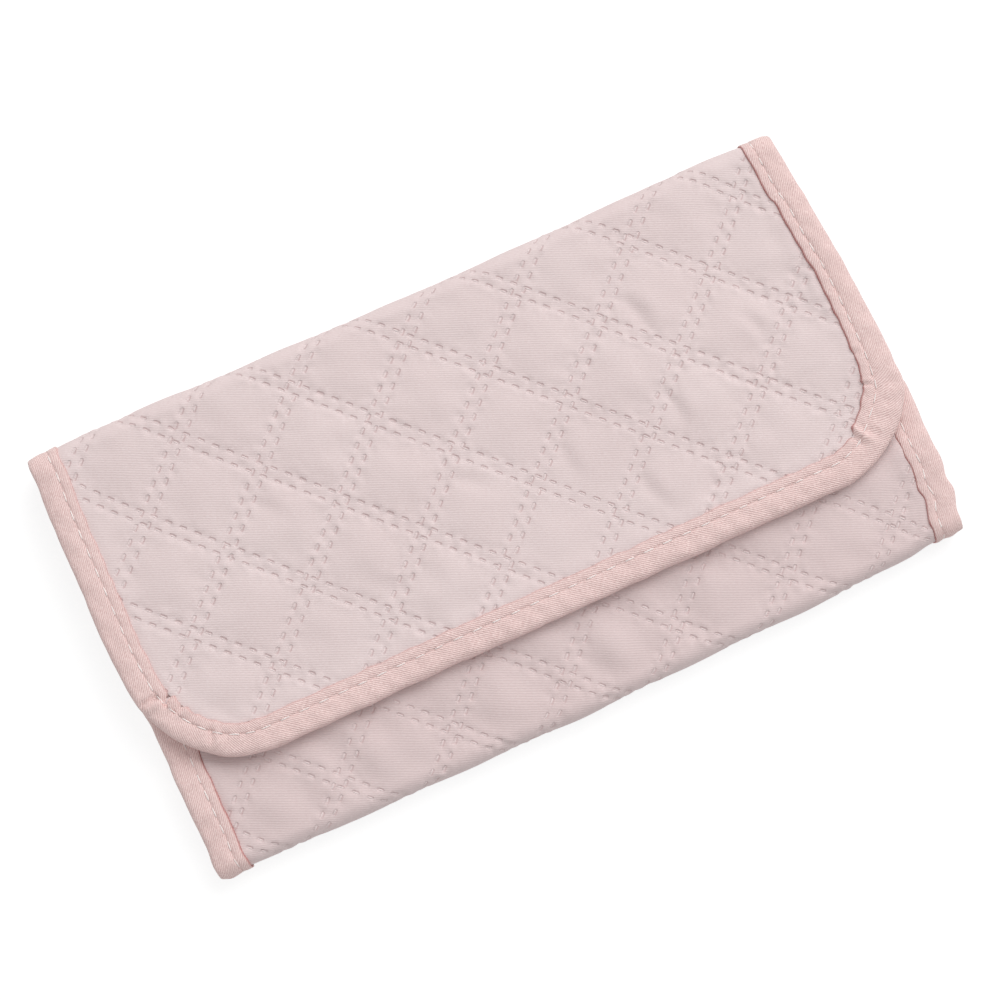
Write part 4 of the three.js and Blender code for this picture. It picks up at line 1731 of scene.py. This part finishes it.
    def _relief(self, running: Points, flap: bool) -> Points:
        """How far the tape's faces rise.

        Args:
            running: Running distance round the sheet of each place along the tape.
            flap: Whether it is the flap's tape, which has puckers.

        Returns:
            Heights in mm, for each place along and each profile point.
        """
        w = self.profile[None, :, 0]
        s = running[:, None]
        pitch = self.flap_pitch if flap else self.side_pitch
        beat = np.cos(2 * math.pi * s / pitch)
        outside = smooth((self.seam - w) / 2.0) * smooth(w / 1.2)
        rise = -self.seam_sink * bump(w, self.seam, 0.9) * (0.5 + 0.5 * beat)
        rise = rise + self.slant_wave * outside * np.cos(2 * math.pi * (s + 0.35 * w) / pitch)
        rise = rise + self.inner_wave * smooth((w - self.seam) / 1.2) * beat
        rise = rise + self.ripple_height * self.ripple.at(s, 1.6 * w) * (0.35 + 0.65 * outside)
        for pucker in self.puckers if flap else ():
            at = s - self._running(pucker.side, pucker.down) - pucker.slant * (w - self.seam)
            within = smooth((w - pucker.inner) / 1.0) * smooth((pucker.outer - w) / 1.0)
            fold = bump(at, 0.0, pucker.width) - 0.75 * bump(at, 1.9 * pucker.width, pucker.width)
            rise = rise + pucker.height * fold * within
        return rise

    def _section(self, path: Points, running: Points, flap: bool) -> tuple[Points, Points]:
        """The tape's profile at each place along it.

        Args:
            path: Points along the outer edge in (u, t).
            running: Running distance round the sheet of each of them.
            flap: Whether it is the flap's tape.

        Returns:
            Insets and depths, for each place along and each profile point.
        """
        folded = self.sheet.foldness(path[:, 1])[:, None]
        inner = self.profile[None, :, 1] > 0.5 * self.thickness
        rise = self._relief(running, flap) * (1.0 - folded * inner)
        w, d = (self.profile[None, :, k] + rise * self.normal[None, :, k] for k in range(2))
        wave = self.edge_wave * self.wave.at(path[:, 0], path[:, 1])[:, None] * np.exp(-w / 5.0)
        lip = self.ripple_height * self.ripple.at(running, 0.0)[:, None] * smooth((w - 7.5) / 1.5)
        down, extra = zip(*self.wider[::-1])
        wider = np.interp(running, [self._running(1, place) for place in down], extra, 0.0, 0.0)
        w = w - wave + lip + wider[:, None] * smooth((w - 3.0) / 5.0)
        d = d - 0.25 * folded * smooth((self.thickness - d) / self.thickness)
        square = 0.6 * folded * bump(w, 0.0, 1.6)
        d = d * (1.0 - square * (d < 0.45 * self.thickness))
        return w, d - self.squeeze * folded * smooth((d - 2.6) / 1.2)

    def _tape(self, name: str, run: Run, line: list[Pair], first: float, nodes: tuple[str, ...]) -> None:
        """Makes one piece of edging and its stitches.

        Args:
            name: Of the piece.
            run: The stretch of sheet that it edges.
            line: Corner points of its outer edge in (u, t).
            first: Running distance round the sheet where it starts.
            nodes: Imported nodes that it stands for.
        """
        corners = np.array(line)
        length = lengths_along(corners)
        even = np.linspace(0.0, length[-1], int(round(length[-1] / self.step)) + 1)
        path = points_along(corners, length, with_close_ends(even))
        ahead = np.gradient(path, axis=0)
        ahead /= np.linalg.norm(ahead, axis=1, keepdims=True)
        inward = np.stack([-ahead[:, 1], ahead[:, 0]], axis=1)
        middle = np.array([0.0, 0.5 * (run.start + run.end)])
        if np.sum(inward * (middle - path)) < 0:
            inward = -inward
        along = lengths_along(path)
        running = along + first
        flap = run.name == "flap"
        w, d = self._section(path, running, flap)
        at = path[:, None, :] + w[..., None] * inward[:, None, :]
        points = self.sheet.place(at[..., 0], at[..., 1], d)
        cloth = np.stack(np.broadcast_arrays(running[:, None], self.around[None, :]), axis=-1)
        # Painted shadow: a dark line along the tape's inner edge, on the first profile points; faint on
        # the left sides and the flap's lower edge, full on the right sides and all round the front.
        rim = np.zeros(cloth.shape)
        shaded = 0.3 + 0.7 * smooth((running - self.past + 20.0) / 25.0)
        rim[:, : len(self.lip), 0] = shaded[:, None] * np.array(self.lip)
        faces = tube_faces(*w.shape)
        made = add_mesh(name, points, faces, {"cloth": cloth, "rim": rim}, flat=2)
        dress(made, run.carry, nodes, self.finishes.binding)
        pitch = self.flap_pitch if flap else self.side_pitch
        thread = self._topstitch(name, at, d, along, pitch)
        dress(thread, run.carry)

    def _topstitch(self, name: str, at: Points, d: Points, along: Points, pitch: float) -> Piece:
        """The row of stitches along one piece of edging, seen on both faces.

        Args:
            name: Of the edging.
            at: Places (u, t) of its profile points.
            d: Depths of its profile points.
            along: Distances along it.
            pitch: Of the stitches.

        Returns:
            The new object.
        """
        outer = int(np.argmin(np.abs(np.array(self.face)[:, 0] - self.seam)))
        steps = np.arange(0.5 * pitch, along[-1], pitch)
        places, headings = [], []
        for column, lift in ((outer, -self.thread_lift), (self.faced - 1 - outer, self.thread_lift)):
            line = self.sheet.place(at[:, column, 0], at[:, column, 1], d[:, column] + lift)
            before, middle, after = (points_along(line, along, steps + way) for way in (-1.4, 0.0, 1.4))
            places.append(0.5 * middle + 0.25 * (before + after))
            headings.append(after - before)
        name = name.replace("edging", "topstitch")
        return self.stitches.lay(name, places, headings, self.thread, self.finishes.edge_thread)


@dataclass(frozen=True)
class Patch:
    """A thin piece of cloth sewn flat on one panel."""

    name: str
    node: str
    body: Body
    slot: Slot
    half_width: float
    start: float
    end: float
    face: float
    under: float = 3.5
    bulge: float = 0.0
    hem: float = 0.0
    sewn: tuple[str, ...] = ()


@dataclass
class PanelCloth:
    """Pockets and closure strips on the panels."""

    sheet: FoldedSheet
    stitches: RepeatTree
    finishes: Finishes
    step: float = 1.2
    seam: float = 1.7
    seam_sink: float = 0.12
    stitch_pitch: float = 3.4
    thread: Triple = (2.3, 0.42, 0.42)
    thread_lift: float = 0.1
    hem_width: float = 5.0
    wrinkle: float = 0.06
    edge_sink: float = 0.22

    def __post_init__(self) -> None:
        """Draws the cloth's small wrinkles."""
        self.ripple = Ripple(seed=41, shortest=12.0, longest=45.0)

    def _depth(self, patch: Patch, u: Points, t: Points) -> Points:
        """Depth of a patch's shown face.

        Args:
            patch: Which one.
            u: Places along the folds.
            t: Places along the sheet.

        Returns:
            Depths in mm.
        """
        edge = patch.half_width - np.abs(u)
        along = np.minimum(t - patch.start, patch.end - t)
        nearest = np.minimum(edge, along)
        pillow = smooth(edge / 26.0) * smooth(along / 15.0)
        rise = patch.bulge * pillow * (0.8 + 0.3 * self.ripple.at(u, t))
        rise = rise + self.wrinkle * self.ripple.at(3 * u, 3 * t) * smooth(nearest / 6.0)
        rise = rise - self.edge_sink * (1.0 - smooth(nearest / 0.7))
        if patch.sewn:
            rise = rise - self.seam_sink * bump(nearest, self.seam, 0.5)
        rise = rise + patch.hem * smooth((self.hem_width - (patch.end - t)) / 0.8)
        return patch.face + math.copysign(1.0, patch.face - patch.under) * rise

    def build(self, patch: Patch, material: Material) -> None:
        """Makes a patch and the stitches along its sewn edges.

        Args:
            patch: What to make.
            material: Of its cloth.
        """
        rows = int(round((patch.end - patch.start) / self.step)) + 1
        columns = int(round(2 * patch.half_width / self.step)) + 1
        line = np.linspace(patch.start, patch.end, rows)
        half = np.full(line.shape, patch.half_width)

        def depth(u: Points, t: Points) -> Points:
            """Depth of this patch."""
            return self._depth(patch, u, t)

        made = slab(patch.name, self.sheet, line, half, columns, depth, patch.under)
        dress(made, patch.body.carry, [patch.node], material)
        threads = [self._seam(patch)] if patch.sewn else []

    def _seam(self, patch: Patch) -> Piece:
        """The row of stitches inside a patch's sewn edges.

        Args:
            patch: That is sewn down.

        Returns:
            The new object.
        """
        half = patch.half_width - self.seam
        low, high = patch.start + self.seam, patch.end - self.seam
        edges = {
            "left": ((-half, low), (-half, high)),
            "right": ((half, low), (half, high)),
            "start": ((-half, low), (half, low)),
            "end": ((-half, high), (half, high)),
        }
        lift = math.copysign(self.thread_lift, patch.face - patch.under)
        places, headings = [], []
        for edge in patch.sewn:
            line = np.array(edges[edge])
            length = lengths_along(line)
            steps = np.arange(0.5 * self.stitch_pitch, length[-1], self.stitch_pitch)
            ends = []
            for shift in (-1.0, 0.0, 1.0):
                u, t = points_along(line, length, steps + shift).T
                ends.append(self.sheet.place(u, t, self._depth(patch, u, t) + lift))
            places.append(ends[1])
            headings.append(ends[2] - ends[0])
        name = f"seam_{patch.name}"
        made = self.stitches.lay(name, places, headings, self.thread, self.finishes.edge_thread)
        dress(made, patch.body.carry)
        return made


def pockets(sheet: FoldedSheet) -> list[Patch]:
    """The pockets, in order from the back to the front.

    Args:
        sheet: The folded sheet.

    Returns:
        One patch for each.
    """
    back = (sheet.on_back(-5.4), sheet.on_back(-59.5), 4.05)
    flap = (sheet.on_flap(25.8), sheet.on_flap(59.5), 4.05)
    front = (sheet.on_front(-59.5), sheet.on_front(-19.5), 3.95)
    half_width = 110.15
    sewn = ("left", "right", "start", "end")
    plans = (
        (Body.BACK, back, {"bulge": 0.5, "sewn": sewn}),
        (Body.FLAP, flap, {"bulge": 0.35, "sewn": sewn}),
        (Body.FRONT, front, {"bulge": 0.1, "hem": 0.4, "sewn": sewn[:3]}),
    )
    made = []
    for body, lies, make in plans:
        names = (f"pocket_{body.value}", f"{body.value}_pocket")
        made.append(Patch(*names, body, Slot.POCKET, half_width, *lies, **make))
    return made


@dataclass
class Closure:
    """The hook strip inside the flap and the loop strip on the front."""

    cloth: PanelCloth
    hooks: RepeatTree
    finishes: Finishes
    half_width: float = 42.0
    span: Pair = (-28.3, -14.7)
    spacing: float = 1.7
    margin: Pair = (1.5, 0.9)
    hook_depth: float = 4.7
    hook: Triple = (0.7, 0.5, 0.5)

    def build(self) -> None:
        """Makes both strips, and the hooks."""
        sheet = self.cloth.sheet
        on_flap = [sheet.on_flap(y) for y in self.span]
        on_front = [sheet.on_front(y) for y in self.span]
        strips = (
            ("hook", Body.FLAP, (*on_flap, 4.05, 3.5)),
            ("loop", Body.FRONT, (*on_front, -1.05, -0.1)),
        )
        for kind, body, lies in strips:
            names = (f"{kind}_strip", f"closure_{kind}_strip")
            strip = Patch(*names, body, Slot.CLOSURE, self.half_width, *lies)
            self.cloth.build(strip, self.finishes.patch)
        side, end = self.half_width - self.margin[0], self.margin[1]
        across = np.arange(-side, side + 0.1, self.spacing)
        u, t = np.meshgrid(across, np.arange(on_flap[0] + end, on_flap[1] - end, self.spacing))
        u = u + 0.5 * self.spacing * (np.arange(len(u)) % 2)[:, None] - 0.25 * self.spacing
        places = sheet.place(u, t, self.hook_depth).reshape(-1, 3)
        headings = np.tile([1.0, 0.0, 0.0], (len(places), 1))
        made = self.hooks.lay("hooks", [places], [headings], self.hook, self.finishes.plastic)
        dress(made, Body.FLAP.carry)


@dataclass
class Zip:
    """A closed zip: two woven tapes and the chain of teeth between them."""

    name: str
    body: Body
    middle: float
    base: float
    up: float
    teeth: RepeatTree
    finishes: Finishes
    half_length: float = 104.15
    tape_width: float = 12.0
    stations: int = 90
    wave: float = 0.05
    chain_half: float = 100.8
    tooth_pitch: float = 3.2
    tooth: Triple = (3.4, 1.3, 1.75)
    tooth_reach: float = 0.75
    tooth_level: float = 0.92
    section: tuple[Pair, ...] = (
        *((8.7, 0.0), (8.7, 0.4), (8.5, 0.5), (5.8, 0.52), (3.0, 0.5), (2.6, 0.75)),
        *((2.3, 1.12), (1.8, 1.22), (1.4, 0.95), (1.28, 0.5), (1.4, 0.05), (4.0, 0.0)),
    )

    def build(self) -> None:
        """Makes the tapes as one piece and the teeth as another."""
        (points, faces, cloth), (more, others, beside) = (self._tape(side) for side in (-1.0, 1.0))
        faces += [[corner + len(points) for corner in face] for face in others]
        maps = {"cloth": np.concatenate([cloth, beside])}
        tape = add_mesh(f"zip_tape_{self.name}", np.concatenate([points, more]), faces, maps)
        sharpen(tape, 50.0)
        dress(tape, self.body.carry, self._nodes("tape"), self.finishes.tape)
        dress(self._chain(), self.body.carry, self._nodes("teeth"))

    def _nodes(self, kind: str) -> list[str]:
        """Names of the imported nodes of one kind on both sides."""
        return [f"{self.name}_zip_{kind}_{side}" for side in ("inner", "outer")]

    def _tape(self, side: float) -> tuple[Points, list, Points]:
        """One tape with the cord along its edge.

        Args:
            side: Of the chain, -1 or 1.

        Returns:
            Its points, faces and cloth coordinates.
        """
        x = np.linspace(-self.half_length, self.half_length, self.stations)[:, None]
        w, level = np.array(self.section).T[:, None, :]
        ripple = Ripple(seed=53, shortest=9.0, longest=40.0)
        height = level + self.wave * ripple.at(x, side * w) * (level > 0.3)
        x, y, height = np.broadcast_arrays(x, self.middle + side * w, height)
        points = np.stack([x, y, self.base + self.up * height], axis=-1)
        faces = tube_faces(*x.shape)
        if side * self.up < 0:
            faces = [face[::-1] for face in faces]
        return points.reshape(-1, 3), faces, np.stack([x, y], axis=-1).reshape(-1, 2)

    def _chain(self) -> Piece:
        """The two rows of teeth, set in each other's gaps.

        Returns:
            The new object.
        """
        places, headings = [], []
        for side, shift in ((-1.0, 0.0), (1.0, 0.5 * self.tooth_pitch)):
            x = np.arange(-self.chain_half + 0.8 + shift, self.chain_half - 0.6, self.tooth_pitch)
            y = np.full(x.shape, self.middle + side * self.tooth_reach)
            z = np.full(x.shape, self.base + self.up * self.tooth_level)
            places.append(np.stack([x, y, z], axis=-1))
            headings.append(np.tile([0.0, -side, 0.0], (len(x), 1)))
        name = f"zip_chain_{self.name}"
        return self.teeth.lay(name, places, headings, self.tooth, self.finishes.plastic)


@dataclass
class RingBar:
    """The padded bar that holds rings: sewn down at one end and snapped at the other."""

    stitches: RepeatTree
    finishes: Finishes
    middle: Pair = (40.5, 6.85)
    bar_half: float = 86.0
    tab_end: float = 106.0
    bar_size: Pair = (11.0, 6.7)
    tab_size: Pair = (9.0, 0.8)
    tab_levels: Pair = (3.9, 7.0)
    lowest: float = 3.5
    gather: float = 9.0
    gathers: int = 11
    gather_depth: float = 0.07
    slack: float = 0.02
    round_points: int = 56
    thread: Triple = (1.6, 0.4, 0.4)

    def build(self) -> None:
        """Makes the bar with its tabs, and the stitches across the tabs."""
        half, end = self.bar_half, self.tab_end
        left = [np.linspace(-end, -half - 2, 14), np.linspace(-half - 1.4, -half + 12, 26)]
        right = [-part[::-1] for part in reversed(left)]
        x = np.concatenate([*left, np.linspace(-half + 14, half - 14, 76), *right])[:, None]
        turn = np.linspace(0.0, 2 * math.pi, self.round_points, endpoint=False)[None, :]
        places = self._places(x, turn)
        cloth = np.stack(np.broadcast_arrays(x, 4.5 * turn), axis=-1)
        faces = tube_faces(*places.shape[:2])
        bar = add_mesh("ring_bar_pad", places, faces, {"cloth": cloth}, flat=2)
        dress(bar, Body.BACK.carry, ["ring_bar"], self.finishes.pocket)
        rows = ((-half - 4.5, 4.32), (-end + 2.0, 4.32), (half + 3.0, 7.42))
        across = np.arange(-3.2, 3.3, 2.1)
        spots = [np.stack(np.broadcast_arrays(at, self.middle[0] + across, z), -1) for at, z in rows]
        headings = [np.tile([0.0, 1.0, 0.0], (len(across), 1))] * len(rows)
        dye = self.finishes.edge_thread
        thread = self.stitches.lay("ring_bar_stitches", spots, headings, self.thread, dye)
        dress(thread, Body.BACK.carry)

    def _places(self, x: Points, turn: Points) -> Points:
        """Places round the bar.

        Args:
            x: Stations along the bar, as a column.
            turn: Angles round it, as a row.

        Returns:
            Places in mm, with x, y and z on the last axis.
        """
        full = smooth((self.bar_half + 1.0 - np.abs(x)) / self.gather) ** 0.55
        level = self.middle[1] * full + np.where(x < 0, *self.tab_levels) * (1 - full)
        wide, high = (0.5 * (a * full + b * (1 - full)) for a, b in zip(self.bar_size, self.tab_size))
        end = smooth((self.tab_end - np.abs(x)) / 2.2)
        wide = wide * (0.55 + 0.45 * np.where(x > 0, end, 1.0))
        square = 2.0 / (2.0 + 4.0 * (1 - full))
        near_end = full * smooth((np.abs(x) - self.bar_half + 26.0) / 26.0)
        folds = self.gather_depth * near_end * np.cos(self.gathers * turn + 2.0 * np.sin(x / 9.0))
        slack = self.slack * Ripple(seed=61, shortest=10.0, longest=40.0).at(x, 6.0 * turn)
        swell = 1.0 + (folds + slack) * full
        c, s = np.cos(turn), np.sin(turn)
        y = self.middle[0] + wide * swell * np.sign(c) * np.abs(c) ** square
        z = level + high * swell * np.sign(s) * np.abs(s) ** square
        return np.stack(np.broadcast_arrays(x, y, np.maximum(z, self.lowest)), axis=-1)


@dataclass
class Fittings:
    """Zip sliders, pulls and stops, and the snap, with softened edges."""

    nodes: dict[str, Piece]
    metal: Material
    merge: float = 2e-6
    flat_angle: float = 1.0
    edge_angle: float = 40.0
    sharp_angle: float = 35.0

    def build(self) -> None:
        """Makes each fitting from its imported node, with its own width of rounding in mm."""
        edges = {"slider": 0.3, "pull": 0.22, "stop": 0.2, "stud": 0.15, "socket": 0.15, "cap": 0.2}
        for node_name, node in sorted(self.nodes.items()):
            for kind, edge in edges.items():
                if kind in node_name:
                    self._soften(node, edge)

    def _soften(self, node: Piece, edge: float) -> None:
        """Makes one fitting.

        Args:
            node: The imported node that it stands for.
            edge: Width of the rounding on its edges in mm.
        """
        work = bmesh.new()
        work.from_mesh(node.data)
        bmesh.ops.remove_doubles(work, verts=work.verts, dist=self.merge)
        flat = math.radians(self.flat_angle)
        bmesh.ops.dissolve_limit(work, angle_limit=flat, verts=work.verts, edges=work.edges)
        least = math.radians(self.edge_angle)
        corners = [e for e in work.edges if e.calc_face_angle(0.0) > least]
        bmesh.ops.bevel(
            work,
            geom=corners,
            offset=edge * MM,
            segments=2,
            profile=0.5,
            affect="EDGES",
            clamp_overlap=True,
        )
        bmesh.ops.triangulate(work, faces=[f for f in work.faces if len(f.verts) > 4])
        for face in work.faces:
            face.smooth = True
        name = f"{node.name}_finished"
        mesh = bpy.data.meshes.new(name)
        work.to_mesh(mesh)
        work.free()
        made = link(name, mesh)
        sharpen(made, self.sharp_angle)

        def carry(piece: Piece) -> None:
            """Lets the fitting ride on its node's body."""
            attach(piece, node["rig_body"])

        dress(made, carry, [node.name], self.metal)


@dataclass
class Studio:
    """Camera, floor and soft light. Lamps and floor are in metres, and the rest is in mm."""

    target: Triple = (-0.674, -0.687, 8.0)
    distance: float = 640.4
    turn: float = 24.643
    lean: float = 8.0
    focal_pixels: float = 2200.0
    frame_pixels: float = 1000.0
    sensor: float = 36.0
    world_level: float = 0.47
    key_place: Triple = (1.6, 1.36, 2.08)
    key_power: float = 63.0
    key_size: float = 2.4
    fill_place: Triple = (-0.9, -0.7, 1.2)
    fill_power: float = 1.5
    fill_size: float = 1.2
    floor_half: float = 4000.0
    floor_drop: float = 0.15
    floor_level: float = 0.8
    far_gain: float = 0.08
    glow_reach: Pair = (0.35, 1.6)
    lit_grey: float = 0.8
    shown_grey: float = 0.3

    def build(self) -> None:
        """Makes the camera, the lights, the world and the floor."""
        self._camera()
        self._world()
        self._lamp("key", self.key_place, self.key_power, self.key_size)
        self._lamp("fill", self.fill_place, self.fill_power, self.fill_size)
        self._floor()

    def _camera(self) -> None:
        """Makes a camera above the roll, leaning towards the picture's lower edge."""
        turn, lean = math.radians(self.turn), math.radians(self.lean)
        up = Vector((math.sin(turn), math.cos(turn), 0.0))
        right = Vector((math.cos(turn), -math.sin(turn), 0.0))
        back = Vector((0.0, 0.0, math.cos(lean))) - up * math.sin(lean)
        data = bpy.data.cameras.new("camera")
        data.sensor_width = self.sensor
        data.lens = self.sensor * self.focal_pixels / self.frame_pixels
        data.clip_start = 0.01
        camera = link("camera", data)
        axes = Matrix((right, back.cross(right), back)).transposed().to_4x4()
        place = (Vector(self.target) + back * self.distance) * MM
        camera.matrix_world = Matrix.Translation(place) @ axes
        bpy.context.scene.camera = camera

    @staticmethod
    def _seen(book: NodeBook) -> Socket:
        """1 where the camera or a reflection looks straight at the surroundings.

        Args:
            book: Of the world or the floor.

        Returns:
            The share.
        """
        path = book.add("ShaderNodeLightPath").outputs
        seen = book.math("MAXIMUM", path["Is Camera Ray"], path["Is Glossy Ray"])
        return book.math("MAXIMUM", seen, path["Is Transmission Ray"])

    def _world(self) -> None:
        """Makes even pale light from all round, white where it is seen."""
        world = bpy.data.worlds.new("studio")
        bpy.context.scene.world = world
        book = NodeBook.on(world)
        level = book.math("MULTIPLY_ADD", self._seen(book), 1.0 - self.world_level, self.world_level)
        shader = book.out("ShaderNodeBackground", {"Color": (1.0, 1.0, 1.0, 1.0), "Strength": level})
        book.add("ShaderNodeOutputWorld", {"Surface": shader})

    @staticmethod
    def _lamp(name: str, place: Triple, power: float, size: float) -> None:
        """Makes a soft square lamp that looks at the roll.

        Args:
            name: Of the lamp.
            place: In metres.
            power: In watts.
            size: Side in metres.
        """
        data = bpy.data.lights.new(name, "AREA")
        data.energy = power
        data.size = size
        lamp = link(name, data)
        lamp.location = place
        lamp.rotation_euler = (-Vector(place)).to_track_quat("-Z", "Y").to_euler()

    def _floor(self) -> None:
        """Makes a wide pale floor that looks white and keeps the roll's soft shadow."""
        side, z = self.floor_half, -self.floor_drop
        corners = np.array([[-side, -side, z], [side, -side, z], [side, side, z], [-side, side, z]])
        floor = add_mesh("floor", corners, [[0, 1, 2, 3]], closed=False)
        paper = bpy.data.materials.new("pale_floor")
        book = NodeBook.on(paper)
        greys = [(grey, grey, grey, 1.0) for grey in (self.lit_grey, self.shown_grey)]
        plain, shown = (book.out("ShaderNodeBsdfDiffuse", {"Color": grey}) for grey in greys)
        place = book.add("ShaderNodeTexCoord").outputs["Object"]
        away = book.add("ShaderNodeVectorMath", {0: place}, operation="LENGTH").outputs["Value"]
        levels = (self.floor_level, self.floor_level + self.far_gain)
        spread = {"Value": away, **dict(enumerate((*self.glow_reach, *levels), start=1))}
        glow = book.out("ShaderNodeEmission", {"Strength": book.out("ShaderNodeMapRange", spread)})
        lit = book.out("ShaderNodeAddShader", {0: shown, 1: glow})
        either = book.out("ShaderNodeMixShader", {0: self._seen(book), 1: plain, 2: lit})
        book.add("ShaderNodeOutputMaterial", {"Surface": either})
        floor.data.materials.append(paper)


def main() -> None:
    """Builds the roll's soft pieces, fittings and studio in order."""
    logging.basicConfig(level=logging.INFO, format="%(message)s")
    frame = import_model()
    bpy.context.scene.view_settings.view_transform = "Standard"
    Studio().build()
    sheet = FoldedSheet()
    quilting = Quilting(sheet)
    padding = Padding(sheet, quilting)
    finishes = Finishes(quilting)
    stitches = RepeatTree(Repeat.THREAD)
    runs = fold_runs(sheet)
    QuiltedCover(sheet, padding, quilting, stitches, finishes).build(runs)
    Lining(sheet, finishes).build(runs)
    Edging(sheet, stitches, finishes).build(runs)
    cloth = PanelCloth(sheet, stitches, finishes)
    for patch in pockets(sheet):
        cloth.build(patch, finishes.pocket)
    Closure(cloth, RepeatTree(Repeat.HOOK), finishes).build()
    teeth = RepeatTree(Repeat.TOOTH)
    Zip("back", Body.BACK, 2.2, 3.5, 1.0, teeth, finishes).build()
    Zip("flap", Body.FLAP, 18.2, 12.5, -1.0, teeth, finishes).build()
    RingBar(stitches, finishes).build()
    Fittings(frame["nodes"], finishes.metal).build()


if __name__ == "__main__":
    main()
